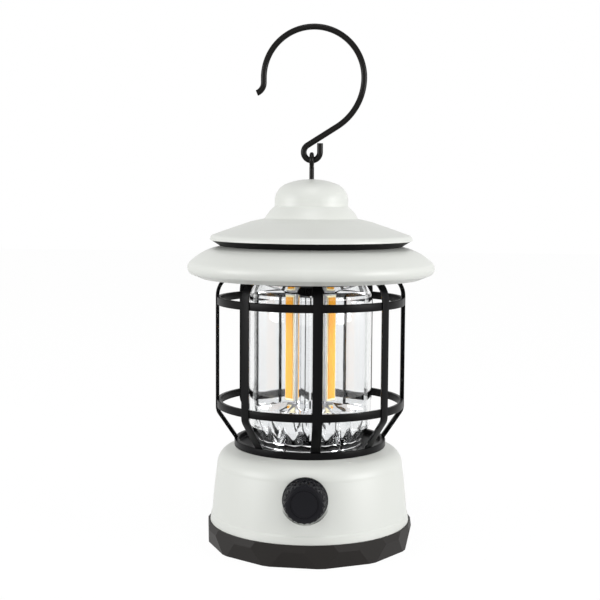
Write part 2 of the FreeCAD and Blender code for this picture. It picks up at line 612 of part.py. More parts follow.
# --------------------------------------------------------------- dimmer and knob
def make_dimmer_body():
    """Rotary dimmer's can with its threaded bush, behind the housing's front."""
    body = new_body("dimmer_body")
    inner = "(shaft_radius + shaft_running_gap)"
    revolve(body, [
        (inner, "dimmer_front - dimmer_depth"), ("dimmer_radius", "dimmer_front - dimmer_depth"),
        ("dimmer_radius", "dimmer_front"), ("bush_radius", "dimmer_front"),
        ("bush_radius", "dimmer_front + bush_length"), (inner, "dimmer_front + bush_length")])
    tabs = draw(new_sketch(body, "XY_Plane", "dimmer_front - dimmer_depth"), rectangle(
        "-dimmer_radius / 2", "dimmer_radius / 2",
        "dimmer_radius - dimmer_tab_root", "dimmer_radius + dimmer_tab_reach"))
    pad(body, tabs, "dimmer_tab_thickness")
    face_forward(body)
    return body


def make_dimmer_washer():
    """Washer between the dimmer's nut and the knob seat."""
    body = new_body("dimmer_washer")
    inner = "bush_radius + bush_hole_gap"
    revolve(body, [
        (inner, "knob_seat"), ("washer_radius", "knob_seat"),
        ("washer_radius", "knob_seat + washer_thickness"), (inner, "knob_seat + washer_thickness")])
    face_forward(body)
    return body


def make_dimmer_nut():
    """Hexagon nut on the dimmer's bush."""
    body = new_body("dimmer_nut")
    start = "knob_seat + washer_thickness"
    block = draw(new_sketch(body, "XY_Plane", start), hexagon("nut_flats"))
    pad(body, block, "nut_thickness")
    bore = draw_circles(new_sketch(body, "XY_Plane", start), [("0", "0")], "bush_radius")
    pocket(body, bore, "2 * nut_thickness", along=True)
    face_forward(body)
    return body


def make_dimmer_shaft():
    """Shaft that turns in the dimmer's bush and carries the knob."""
    body = new_body("dimmer_shaft")
    start = "(dimmer_front - dimmer_depth + part_gap)"
    rod = draw_circles(new_sketch(body, "XY_Plane", start), [("0", "0")], "shaft_radius")
    pad(body, rod, "knob_seat + knob_gap + knob_length - shaft_tip_gap - " + start)
    face_forward(body)
    return body


def make_dimmer_knob():
    """Tapered knob with a notched flange, a ring round its face and a hollow back."""
    body = new_body("dimmer_knob")
    back = "(knob_seat + knob_gap)"
    front = "(knob_seat + knob_gap + knob_length)"
    ring = "(knob_ring_radius - knob_ring_width)"
    revolve(body, [
        ("0", front + " - shaft_tip_gap"), ("shaft_radius", front + " - shaft_tip_gap"),
        ("shaft_radius", back + " + knob_hollow_depth"),
        ("knob_hollow_radius", back + " + knob_hollow_depth"), ("knob_hollow_radius", back),
        ("knob_radius - knob_edge / 2", back), ("knob_radius", back + " + knob_edge / 2"),
        ("knob_radius", back + " + knob_flange"),
        ("knob_radius - knob_flange_step", back + " + knob_flange"),
        ("knob_side_radius", front + " - knob_chamfer"), ("knob_face_radius", front),
        ("knob_ring_radius", front), ("knob_ring_radius", front + " - knob_ring_depth"),
        (ring, front + " - knob_ring_depth"), (ring, front), ("0", front)])
    tip = "(knob_radius - knob_groove_depth)"
    notch = draw(new_sketch(body, "XY_Plane", back), [
        (tip, "0"), ("knob_radius + knob_groove_clear", "-knob_groove_depth - knob_groove_clear"),
        ("knob_radius + knob_groove_clear", "knob_groove_depth + knob_groove_clear")])
    cut = pocket(body, notch, "knob_flange", along=True)
    polar(body, cut, "knob_groove_count")
    face_forward(body)
    return body


# ------------------------------------------------------------------------- cage
COLLAR_TOP = "(deck_height + collar_height)"
RIB_CENTRE = "(cage_radius - rib_thickness / 2)"
CROWN_TOP = "(deck_height + shade_rise)"


def make_cage_collar():
    """Black tray on the deck: its rim takes the ribs' feet, its floor rings the lens."""
    body = new_body("cage_collar")
    inner = "(lens_neck_radius + lens_seat_gap)"
    revolve(body, [
        (inner, "deck_height"), ("collar_radius", "deck_height"),
        ("collar_radius", COLLAR_TOP + " - collar_edge"), ("collar_radius - collar_edge", COLLAR_TOP),
        ("collar_radius - collar_rim_width", COLLAR_TOP),
        ("collar_radius - collar_rim_width", "deck_height + collar_floor"),
        (inner, "deck_height + collar_floor")])
    bosses = draw_circles(new_sketch(body, "XY_Plane", "deck_height"), COLLAR_SCREWS,
                          "collar_boss_radius")
    pad(body, bosses, "collar_screw_bite + collar_floor / 2")
    holes = draw_circles(new_sketch(body, "XY_Plane", "deck_height"), COLLAR_SCREWS,
                         "collar_screw_radius")
    pocket(body, holes, "collar_screw_bite", along=True)
    return body


def make_collar_screws():
    """Four screws up through the deck into the collar."""
    return stepped_pins("collar_screws", COLLAR_SCREWS, [
        ("case_head_radius", DECK_LOW + " - screw_head_height", DECK_LOW),
        ("collar_screw_radius", DECK_LOW, "deck_height + collar_screw_bite")])


def rib_feature(body):
    """One rib: a run over the crown's edge, a bend, a straight and a slanted foot."""
    top = "(crown_height + crown_flange / 2)"
    path = draw(new_sketch(body, "XZ_Plane"), [
        ("crown_flange_radius + fit_gap / 2", top),
        (RIB_CENTRE + " - rib_top_bend", top, "rib_top_bend"),
        (RIB_CENTRE, top + " - rib_top_bend"),
        (RIB_CENTRE, "rib_low_height + rib_setback", "rib_low_bend"),
        (RIB_CENTRE + " - rib_setback * sin(rib_lean)", "rib_low_height - rib_setback * cos(rib_lean)"),
        ("rib_foot_radius - rib_foot_sink * rib_foot_run / rib_foot_drop",
         COLLAR_TOP + " - rib_foot_sink")], closed=False)
    section = draw(new_sketch(body, "YZ_Plane", "crown_flange_radius + fit_gap / 2"), [
        ("-rib_inner_width / 2", top + " - rib_thickness / 2"),
        ("rib_inner_width / 2", top + " - rib_thickness / 2"),
        ("rib_outer_width / 2", top + " + rib_thickness / 2"),
        ("-rib_outer_width / 2", top + " + rib_thickness / 2")])
    made = body.newObject("PartDesign::AdditivePipe", body.Name + "_rib")
    made.Profile = section
    made.Spine = (path, [])
    return made


def turn_cage(item):
    """Turns a piece of the cage to the ribs' place relative to the knob."""
    item.setExpression("Placement.Rotation.Angle", bound("cage_turn - 90"))


def make_cage_ribs():
    """Eight ribs that rise from the collar and bend in under the shade."""
    body = doc.addObject("PartDesign::Body", "rib_bars")
    rib = rib_feature(body)
    polar(body, rib, "rib_count")
    below = doc.addObject("Part::Cylinder", "rib_trim")
    below.setExpression("Radius", bound("cage_radius"))
    below.setExpression("Height", bound(COLLAR_TOP))
    ribs = doc.addObject("Part::Cut", "cage_ribs")
    ribs.Label = "cage_ribs"
    ribs.Base, ribs.Tool = body, below
    nodes.append(ribs)
    turn_cage(ribs)
    return ribs


def make_cage_ring(name, middle):
    """A hoop let into the inner faces of the ribs."""
    body = new_body(name)
    outer, inner = "(cage_radius - ring_inset)", "(cage_radius - ring_inset - ring_thickness)"
    low, high = "(%s - ring_height / 2)" % middle, "(%s + ring_height / 2)" % middle
    revolve(body, [(inner, low), (outer, low), (outer, high), (inner, high)])
    near, far = "(cage_radius - rib_thickness)", "(cage_radius + cut_over)"
    half_far = "(rib_inner_width / 2 + (%s - %s) * %s)" % (
        far, near, "(rib_outer_width - rib_inner_width) / 2 / rib_thickness")
    notch = draw(new_sketch(body, "XY_Plane", low + " - cut_over"), [
        (near, "-rib_inner_width / 2"), (far, "-" + half_far),
        (far, half_far), (near, "rib_inner_width / 2")])
    cut = pocket(body, notch, "ring_height + 2 * cut_over", along=True)
    polar(body, cut, "rib_count")
    turn_cage(body)
    return body


# ------------------------------------------------------------------------ crown
def make_cage_crown():
    """Black ring that joins the ribs' tops, seats the lens and carries the shades."""
    body = new_body("cage_crown")
    bore = "(lens_neck_radius + lens_seat_gap)"
    flange_top = "(crown_height + crown_flange)"
    ledge_top = flange_top + " + crown_ledge"
    seal_inner = "(lens_neck_radius - lens_wall - lens_seat_gap)"
    revolve(body, [
        (bore, "crown_height"), ("crown_flange_radius", "crown_height"),
        ("crown_flange_radius", flange_top), ("crown_wall_outer", flange_top),
        ("crown_wall_outer", CROWN_TOP), ("crown_wall_inner", CROWN_TOP),
        ("crown_wall_inner", ledge_top), (seal_inner, ledge_top),
        (seal_inner, flange_top), (bore, flange_top)])
    holes = draw_circles(new_sketch(body, "XY_Plane", "crown_height"), CROWN_SCREWS,
                         "crown_screw_radius + screw_hole_gap")
    pocket(body, holes, CROWN_TOP + " - crown_height + cut_over", along=True)
    sinks = draw_circles(new_sketch(body, "XY_Plane", "crown_height"), CROWN_SCREWS,
                         "case_head_radius + screw_hole_gap")
    pocket(body, sinks, "screw_head_height", along=True)
    return body


def make_crown_screws():
    """Four long screws that clamp the shades and the spacer to the crown."""
    head_top = "crown_height + screw_head_height"
    return stepped_pins("crown_screws", CROWN_SCREWS, [
        ("case_head_radius", "crown_height", head_top),
        ("crown_screw_radius", head_top, SPACER_TOP + " + crown_screw_grip")])


# ------------------------------------------------------------------ lens, seals
LENS_LOW = "(deck_height + seal_thickness)"
NECK_END = "(deck_height + seal_thickness + lens_neck_length)"
BARREL_LOW = "(deck_height + seal_thickness + lens_neck_length + lens_taper_low)"
BARREL_HIGH = "(lens_top - lens_neck_length - lens_taper_high)"
HIGH_NECK = "(lens_top - lens_neck_length)"


def make_lens():
    """Clear barrel that narrows to a neck at each end."""
    body = new_body("lens")
    inner, neck = "(lens_radius - lens_wall)", "(lens_neck_radius - lens_wall)"
    revolve(body, [
        (neck, LENS_LOW), ("lens_neck_radius", LENS_LOW), ("lens_neck_radius", NECK_END),
        ("lens_radius", BARREL_LOW), ("lens_radius", BARREL_HIGH),
        ("lens_neck_radius", HIGH_NECK), ("lens_neck_radius", "lens_top"), (neck, "lens_top"),
        (neck, HIGH_NECK), (inner, BARREL_HIGH), (inner, BARREL_LOW), (neck, NECK_END)])
    return body


def make_seal(name, low, height):
    """Flat rubber ring under or over one end of the lens."""
    body = new_body(name)
    inner = "(lens_neck_radius - lens_wall - lens_seat_gap)"
    outer = "(lens_neck_radius + lens_seat_gap - fit_gap)"
    high = "(%s + %s)" % (low, height)
    revolve(body, [(inner, low), (outer, low), (outer, high), (inner, high)])
    return body


# ------------------------------------------------------------ reflectors, lights
FOOT_RADIUS = "(lens_neck_radius - lens_wall - reflector_gap - fit_gap)"
RIM_RADIUS = "(lens_radius - lens_wall - reflector_gap)"
RIM_LOW = "(%s + dish_rim_rise)" % BARREL_LOW


def make_lower_reflector():
    """Chromed dish at the core's foot with a skirt that follows the lens."""
    body = new_body("lower_reflector")
    thin = "reflector_wall"
    revolve(body, [
        (FOOT_RADIUS, "deck_height"), (FOOT_RADIUS, NECK_END), (RIM_RADIUS, BARREL_LOW),
        (RIM_RADIUS, RIM_LOW), ("dish_hub_radius", "core_low"), ("dish_hole_radius", "core_low"),
        ("dish_hole_radius", "core_low - " + thin), ("dish_hub_radius", "core_low - " + thin),
        (RIM_RADIUS + " - " + thin, RIM_LOW + " - " + thin),
        (FOOT_RADIUS + " - " + thin, NECK_END + " + skirt_bend_rise"),
        (FOOT_RADIUS + " - " + thin, "deck_height")])
    return body


def make_upper_reflector():
    """Chromed cone over the core, under the crown's ledge."""
    body = new_body("upper_reflector")
    thin, top = "reflector_wall", "(crown_height + crown_flange)"
    rim = "(lens_neck_radius - lens_wall + reflector_gap)"
    rim_height = "(%s - lens_taper_high / 3)" % HIGH_NECK
    revolve(body, [
        ("dish_hole_radius", "core_high"), ("dish_hub_radius", "core_high"), (rim, rim_height),
        (FOOT_RADIUS, HIGH_NECK), (FOOT_RADIUS, top), (FOOT_RADIUS + " - " + thin, top),
        (FOOT_RADIUS + " - " + thin, HIGH_NECK), (rim + " - " + thin, rim_height + " + " + thin),
        ("dish_hub_radius", "core_high + " + thin), ("dish_hole_radius", "core_high + " + thin)])
    return body


def make_reflector_core():
    """Chromed column with four concave troughs that meet in sharp ridges."""
    body = new_body("reflector_core")
    outline = []
    for k in range(4):
        angle = 45 + 90 * k
        ridge_x = "core_ridge_radius * cos(45)"
        outline += [
            turned(ridge_x, "-core_ridge_radius * sin(45) + ridge_land", angle) + ("-trough_radius",),
            turned("core_floor", "-core_floor_half", angle),
            turned("core_floor", "core_floor_half", angle) + ("-trough_radius",),
            turned(ridge_x, "core_ridge_radius * sin(45) - ridge_land", angle)]
    star = draw(new_sketch(body, "XY_Plane", RIM_LOW), outline)
    pad(body, star, "core_high - " + RIM_LOW)
    slope = "((core_low - %s) / (%s - dish_hub_radius))" % (RIM_LOW, RIM_RADIUS)
    groove(body, [
        ("0", RIM_LOW + " - cut_over"), ("lens_radius", RIM_LOW + " - cut_over"),
        ("lens_radius", "core_low + fit_gap - %s * (lens_radius - dish_hub_radius)" % slope),
        ("dish_hub_radius", "core_low + fit_gap"), ("dish_hub_radius - fit_gap", "core_low"),
        ("0", "core_low")])
    bore = draw_circles(new_sketch(body, "XY_Plane", RIM_LOW), [("0", "0")], "core_bore_radius")
    pocket(body, bore, "core_high - %s + cut_over" % RIM_LOW, along=True)
    body.setExpression("Placement.Rotation.Angle", bound("core_turn"))
    return body


def make_trough_strips(name, inner, thickness, width, low, high):
    """One upright strip on the floor of each trough."""
    body = new_body(name)
    plan = draw(new_sketch(body, "XY_Plane", low), rectangle(
        inner, "%s + %s" % (inner, thickness), "-%s / 2" % width, "%s / 2" % width))
    strip = pad(body, plan, "(%s) - (%s)" % (high, low))
    polar(body, strip, "4")
    body.setExpression("Placement.Rotation.Angle", bound("core_turn + 45"))
    return body


def make_led_harness():
    """Bundle of wires from the control board up the core's bore."""
    body = new_body("led_harness")
    bundle = draw_circles(new_sketch(body, "XY_Plane", BOARD_TOP), [("0", "0")], "harness_radius")
    pad(body, bundle, "harness_top - " + BOARD_TOP)
    return body


# ----------------------------------------------------------------------- shades
SHADE_TOP = "(%s + shade_wall)" % CROWN_TOP
SPACER_TOP = "(%s + spacer_thickness)" % SHADE_TOP
DOME_LOW = "(%s + spacer_rise)" % SHADE_TOP


def make_lower_shade():
    """Wide white brim with a rolled edge, clamped on the crown."""
    body = new_body("lower_shade")
    inner_nose = "shade_nose_bow - shade_wall"
    revolve(body, [
        ("shade_hole_radius", CROWN_TOP), ("shade_hole_radius", SHADE_TOP),
        ("shade_top_radius", SHADE_TOP, "shade_slope_bow"),
        ("shade_shoulder_radius", SHADE_TOP + " - shade_shoulder_drop", "shade_nose_bow"),
        ("shade_shoulder_radius + shade_nose_reach", SHADE_TOP + " - shade_nose_drop"),
        ("shade_lip_radius", SHADE_TOP + " - shade_lip_drop"),
        ("shade_lip_radius", SHADE_TOP + " - shade_lip_drop + shade_wall"),
        ("shade_shoulder_radius - shade_nose_reach", SHADE_TOP + " - shade_nose_drop + shade_inner_drop",
         "-(%s)" % inner_nose),
        ("shade_shoulder_radius - shade_inner_inset",
         SHADE_TOP + " - shade_shoulder_drop - shade_inner_drop",
         "-(shade_slope_bow - shade_wall)"),
        ("shade_top_radius", CROWN_TOP)])
    holes = draw_circles(new_sketch(body, "XY_Plane", CROWN_TOP), CROWN_SCREWS,
                         "crown_screw_radius + screw_hole_gap")
    pocket(body, holes, "2 * shade_wall", along=True)
    return body


def make_shade_spacer():
    """Black cone-edged disc that lifts the dome off the lower shade."""
    body = new_body("shade_spacer")
    lip = "(dome_edge_radius - dome_edge_inset - dome_wall - fit_gap)"
    revolve(body, [
        ("shade_hole_radius", SHADE_TOP), ("spacer_low_radius", SHADE_TOP),
        ("spacer_high_radius", DOME_LOW), (lip, DOME_LOW), (lip, DOME_LOW + " + spacer_lip"),
        (lip + " - spacer_lip_wall", DOME_LOW + " + spacer_lip"),
        (lip + " - spacer_lip_wall", SPACER_TOP), ("shade_hole_radius", SPACER_TOP)])
    holes = draw_circles(new_sketch(body, "XY_Plane", SHADE_TOP), CROWN_SCREWS,
                         "crown_screw_radius + screw_hole_gap")
    pocket(body, holes, "2 * spacer_thickness", along=True)
    return body


def make_upper_shade():
    """White dome with a stepped neck, four bosses and a hole for the eye."""
    body = new_body("upper_shade")

    def up(rise, inset=""):
        return "(%s + %s)%s" % (DOME_LOW, rise, inset)

    hole = "(eye_stem_radius + eye_running_gap)"
    revolve(body, [
        ("dome_edge_radius", DOME_LOW, "-edge_bow"),
        ("dome_edge_radius - dome_edge_inset", up("dome_edge_rise")),
        ("dome_slope_radius", up("dome_slope_rise")),
        ("dome_crease_radius", up("dome_crease_rise"), "-neck_bow"),
        ("dome_neck_radius", up("dome_neck_rise")),
        ("dome_neck_radius", up("dome_wall_rise"), "-round_bow"),
        ("dome_round_radius", up("dome_round_rise"), "-cap_bow"),
        (hole, up("dome_height")), (hole, up("dome_height", " - dome_wall")),
        ("eye_washer_radius + cap_flat_margin", up("dome_height", " - dome_wall")),
        ("dome_round_radius - dome_wall / 2", up("dome_round_rise", " - dome_wall"),
         "round_bow - dome_wall"),
        ("dome_neck_radius - dome_wall", up("dome_wall_rise")),
        ("dome_neck_radius - dome_wall", up("dome_neck_rise", " - dome_wall / 2")),
        ("dome_crease_radius - dome_wall", up("dome_crease_rise", " - dome_wall")),
        ("dome_slope_radius", up("dome_slope_rise", " - dome_wall")),
        ("dome_edge_radius - dome_wall", up("dome_edge_rise", " - dome_wall / 2")),
        ("dome_edge_radius - dome_wall", DOME_LOW)])
    bosses = draw_circles(new_sketch(body, "XY_Plane", SPACER_TOP), CROWN_SCREWS, "dome_boss_radius")
    pad(body, bosses, DOME_LOW + " + dome_boss_length - " + SPACER_TOP)
    holes = draw_circles(new_sketch(body, "XY_Plane", SPACER_TOP), CROWN_SCREWS, "crown_screw_radius")
    pocket(body, holes, "crown_screw_grip", along=True)
    return body


# ----------------------------------------------------------------- eye and hook
DOME_TOP = "(%s + dome_height)" % DOME_LOW
EYE_HEIGHT = "(%s + eye_rise)" % DOME_TOP
WASHER_LOW = "(%s - dome_wall - eye_washer_thickness)" % DOME_TOP
NUT_LOW = "(%s - eye_end_play - eye_nut_thickness)" % WASHER_LOW


def make_eye_bolt():
    """Ring of wire on a stem that turns in the dome's top."""
    stem = doc.addObject("Part::Cylinder", "eye_stem")
    stem.setExpression("Radius", bound("eye_stem_radius"))
    stem.setExpression("Height", bound("eye_rise - eye_radius + eye_stem_depth"))
    stem.setExpression("Placement.Base.z", bound(DOME_TOP + " - eye_stem_depth"))
    ring = doc.addObject("Part::Torus", "eye_ring")
    ring.setExpression("Radius1", bound("eye_radius"))
    ring.setExpression("Radius2", bound("eye_wire_radius"))
    ring.Placement = FreeCAD.Placement(FreeCAD.Vector(), FreeCAD.Rotation(FreeCAD.Vector(0, 1, 0), 90))
    ring.setExpression("Placement.Base.z", bound(EYE_HEIGHT))
    whole = doc.addObject("Part::Fuse", "eye_bolt")
    whole.Label = "eye_bolt"
    whole.Base, whole.Tool = stem, ring
    nodes.append(whole)
    return whole


def make_eye_washer():
    """Washer under the dome's top."""
    body = new_body("eye_washer")
    hole = "(eye_stem_radius + eye_running_gap)"
    top = "(%s - dome_wall)" % DOME_TOP
    revolve(body, [(hole, WASHER_LOW), ("eye_washer_radius", WASHER_LOW),
                   ("eye_washer_radius", top), (hole, top)])
    return body


def make_eye_nut():
    """Lock nut on the eye's stem, just clear of the washer so that the eye turns."""
    body = new_body("eye_nut")
    block = draw(new_sketch(body, "XY_Plane", NUT_LOW), hexagon("eye_nut_flats"))
    pad(body, block, "eye_nut_thickness")
    bore = draw_circles(new_sketch(body, "XY_Plane", NUT_LOW), [("0", "0")], "eye_stem_radius")
    pocket(body, bore, "2 * eye_nut_thickness", along=True)
    return body


def make_hook():
    """Steel wire: a tail, a small loop through the eye, a shank, two wide arcs, a tip."""
    body = new_body("lantern_hook")
    loop_height = "(%s + hook_loop_radius)" % EYE_HEIGHT
    arc_height = "(%s + hook_rise)" % loop_height
    shoulder_offset = value("hook_offset + hook_radius - hook_shoulder_radius")
    span = math.hypot(value("hook_rise"), shoulder_offset)
    line_angle = math.atan2(-value("hook_rise"), -shoulder_offset)
    spread = math.acos(value("hook_shoulder_radius + hook_loop_radius") / span)
    leave = math.degrees(line_angle + spread)
    arrive = leave + 180
    tip = value("hook_tip_turn")
    path = new_sketch(body, "XZ_Plane")
    loop = FreeCAD.Vector(0, value(loop_height), 0)
    wide = FreeCAD.Vector(value("hook_offset"), value(arc_height), 0)
    shoulder = FreeCAD.Vector(shoulder_offset, wide.y, 0)
    flare = FreeCAD.Vector(wide.x - value("hook_radius + hook_tip_radius"), wide.y - value("hook_drop"), 0)

    def at(centre, radius, degrees):
        angle = math.radians(degrees)
        return centre + FreeCAD.Vector(math.cos(angle), math.sin(angle), 0) * radius

    def arc(centre, radius, first, last):
        circle = Part.Circle(centre, FreeCAD.Vector(0, 0, 1), radius)
        return Part.ArcOfCircle(circle, math.radians(first), math.radians(last))

    small, big = value("hook_loop_radius"), value("hook_radius")
    low_right = value("hook_shoulder_radius")
    tail = FreeCAD.Vector(small, loop.y + value("hook_tail"), 0)
    left_end = at(wide, big, 180)
    path.addGeometry([
        Part.LineSegment(tail, at(loop, small, 0)), arc(loop, small, arrive, 360),
        Part.LineSegment(at(loop, small, arrive), at(shoulder, low_right, leave)),
        arc(shoulder, low_right, leave, 0), arc(wide, big, 0, 180),
        Part.LineSegment(left_end, left_end - FreeCAD.Vector(0, value("hook_drop"), 0)),
        arc(flare, value("hook_tip_radius"), -tip, 0)])
    section = draw_circles(new_sketch(body, "XY_Plane", loop_height + " + hook_tail"),
                           [("hook_loop_radius", "0")], "hook_wire_radius")
    made = body.newObject("PartDesign::AdditivePipe", "hook_wire")
    made.Profile = section
    made.Spine = (path, [])
    return body


# -------------------------------------------------------------------- the whole
make_foot_ring()
make_bottom_cover()
make_cover_screws()
make_base_housing()
make_battery_cradle()
make_battery_cells()
make_battery_contacts()
make_control_board()
make_board_screws()
make_charging_socket()
make_flap_anchor()
make_port_flap()
make_dimmer_body()
make_dimmer_washer()
make_dimmer_nut()
make_dimmer_shaft()
make_dimmer_knob()
make_cage_collar()
make_collar_screws()
make_cage_ribs()
make_cage_ring("lower_cage_ring", "low_ring_height")
make_cage_ring("upper_cage_ring", "high_ring_height")
make_cage_crown()
make_crown_screws()
make_lens()
make_seal("lower_lens_seal", "deck_height", "seal_thickness")
make_seal("upper_lens_seal", "lens_top", "(crown_height + crown_flange - lens_top)")
make_lower_reflector()
make_upper_reflector()
make_reflector_core()
make_trough_strips("led_boards", "core_floor", "board_strip_thickness", "board_strip_width",
                   "light_low - board_strip_over", "light_high + board_strip_over")
make_trough_strips("led_strips", "core_floor + board_strip_thickness", "light_thickness",
                   "light_width", "light_low", "light_high")
make_led_harness()
make_lower_shade()
make_shade_spacer()
make_upper_shade()
make_eye_bolt()
make_eye_washer()
make_eye_nut()
make_hook()
doc.recompute()

faults = []
for item in doc.Objects:
    if "Invalid" in item.State or "Error" in item.State:
        faults.append("%s is in state %s" % (item.Label, item.State))
for node in nodes:
    if node.Shape.isNull() or not node.Shape.isValid() or not node.Shape.Solids:
        faults.append("%s has no valid shape" % node.Label)
if faults:
    raise RuntimeError("; ".join(faults))

os.makedirs("parts", exist_ok=True)
for node in nodes:
    node.Shape.exportStep(os.path.join("parts", node.Label + ".step"))
    print("%-18s %2d solids %10.1f mm3" % (node.Label, len(node.Shape.Solids), node.Shape.Volume))
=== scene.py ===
import bmesh
import bpy
import math
from mathutils import Matrix, Vector


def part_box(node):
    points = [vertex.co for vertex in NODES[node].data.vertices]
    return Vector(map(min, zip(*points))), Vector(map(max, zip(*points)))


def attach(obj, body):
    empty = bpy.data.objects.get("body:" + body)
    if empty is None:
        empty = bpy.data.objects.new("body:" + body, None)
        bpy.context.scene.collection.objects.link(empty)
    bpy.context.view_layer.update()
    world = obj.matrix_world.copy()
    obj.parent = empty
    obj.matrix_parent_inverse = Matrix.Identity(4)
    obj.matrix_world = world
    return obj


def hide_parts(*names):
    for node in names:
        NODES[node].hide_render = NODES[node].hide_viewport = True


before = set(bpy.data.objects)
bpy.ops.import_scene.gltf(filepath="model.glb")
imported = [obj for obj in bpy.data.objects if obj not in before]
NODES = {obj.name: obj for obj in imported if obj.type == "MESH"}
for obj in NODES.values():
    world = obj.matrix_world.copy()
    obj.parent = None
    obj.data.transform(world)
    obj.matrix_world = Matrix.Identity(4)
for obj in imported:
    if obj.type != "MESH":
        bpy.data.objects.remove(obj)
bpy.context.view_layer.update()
MM = 0.001
SAME_PLACE = 0.001 * MM
ON_ROW = 0.01 * MM
FULL_TURN = 2 * math.pi

# cage
RIB_COUNT = 8
RIB_RADIUS = 48.1 * MM
RIB_THICKNESS = 1.8 * MM
RIB_OUTER_WIDTH = 5.2 * MM
RIB_INNER_WIDTH = 2.8 * MM
RIB_TOP_BEND = 11.0 * MM
RIB_LOW_BEND = 6.0 * MM
RIB_LOW_CORNER = 67.6 * MM
RIB_FOOT_RADIUS = 37.2 * MM
RIB_FOOT_LIFT = 0.2 * MM
RIB_CROWN_LAP = 0.5 * MM
RIB_ROUNDING = 0.42 * MM
CAGE_TURN = math.radians(-83.5)
HOOP_THICKNESS = 1.9 * MM
HOOP_ROUNDING = 0.35 * MM
COLLAR_RIM_WIDTH = 2.4 * MM
COLLAR_FLOOR = 0.9 * MM
COLLAR_BORE_INSET = 4.1 * MM
COLLAR_ROUNDING = 0.4 * MM

# knob
KNOB_FLANGE = 1.5 * MM
KNOB_FLANGE_EDGE = 0.3 * MM
KNOB_FLANGE_STEP = 0.8 * MM
KNOB_SIDE_RADIUS = 9.8 * MM
KNOB_FACE_RADIUS = 8.0 * MM
KNOB_FACE_EDGE = 0.3 * MM
KNOB_FACE_DISH = 0.2 * MM
KNOB_CHAMFER = 1.8 * MM
KNOB_CHAMFER_BOW = 0.65 * MM
KNOB_RING_RADIUS = 6.9 * MM
KNOB_RING_WIDTH = 0.7 * MM
KNOB_RING_SLOPE = 0.15 * MM
KNOB_RING_DEPTH = 0.25 * MM
KNOB_HEIGHT = (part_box("dimmer_knob")[0].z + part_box("dimmer_knob")[1].z) / 2
KNURL_SINK = 0.4 * MM
KNURL_TOP_GAP = 0.1 * MM
KNURL_DEPTH = 0.55 * MM
KNURL_SIDE_ROWS = 3
KNURL_COLUMNS = 44

# lens, dish and light strips
LENS_WALL = 1.5 * MM
LENS_NECK_INSET = 4.5 * MM
LENS_NECK_LENGTH = 3.0 * MM
LENS_LOW_SHOULDER = 10.5 * MM
LENS_HIGH_SHOULDER = 11.0 * MM
LENS_ROUNDING = 1.2 * MM
DISH_FOOT_INSET = 3.6 * MM
DISH_FOOT_HEIGHT = 4.0 * MM
DISH_FALL = 2.8 * MM
DISH_HUB_RADIUS = 13.0 * MM
DISH_BORE_RADIUS = 6.5 * MM
DISH_WALL = 1.0 * MM
ON_HUB = 0.1 * MM
DISH_STEPS = 6
PLEAT_COUNT = 20
PLEAT_STEPS = 10
PETAL_COUNT = 4
PETAL_DEPTH = 1.5 * MM
CORE_TURN = math.radians(2.4)
TROUGH_RADIUS = 14.4 * MM
STRIP_COUNT = 4
STRIP_WIDTH = 5.8 * MM
STRIP_THICKNESS = 0.4 * MM
STRIP_ROUNDING = 0.12 * MM
GEL_WIDTH = 4.9 * MM
GEL_THICKNESS = 0.5 * MM
GEL_LIFT = 0.3 * MM
GEL_END_GAP = 1.0 * MM
GEL_ROUNDING = 0.22 * MM

# screws in the bottom cover
SCREW_HEAD_RADIUS = 2.7 * MM
SCREW_HEAD_HEIGHT = 1.5 * MM
CROSS_WIDTH = 0.7 * MM
CROSS_DEPTH = 0.9 * MM
CROSS_SHARE = 0.62

# stage
FLOOR_REACH = 3.0
FLOOR_DROP = 0.2 * MM
FLOOR_GLOW = 1.041
FLOOR_GLOW_SHARE = 0.93
SKY_STRENGTH = 0.37


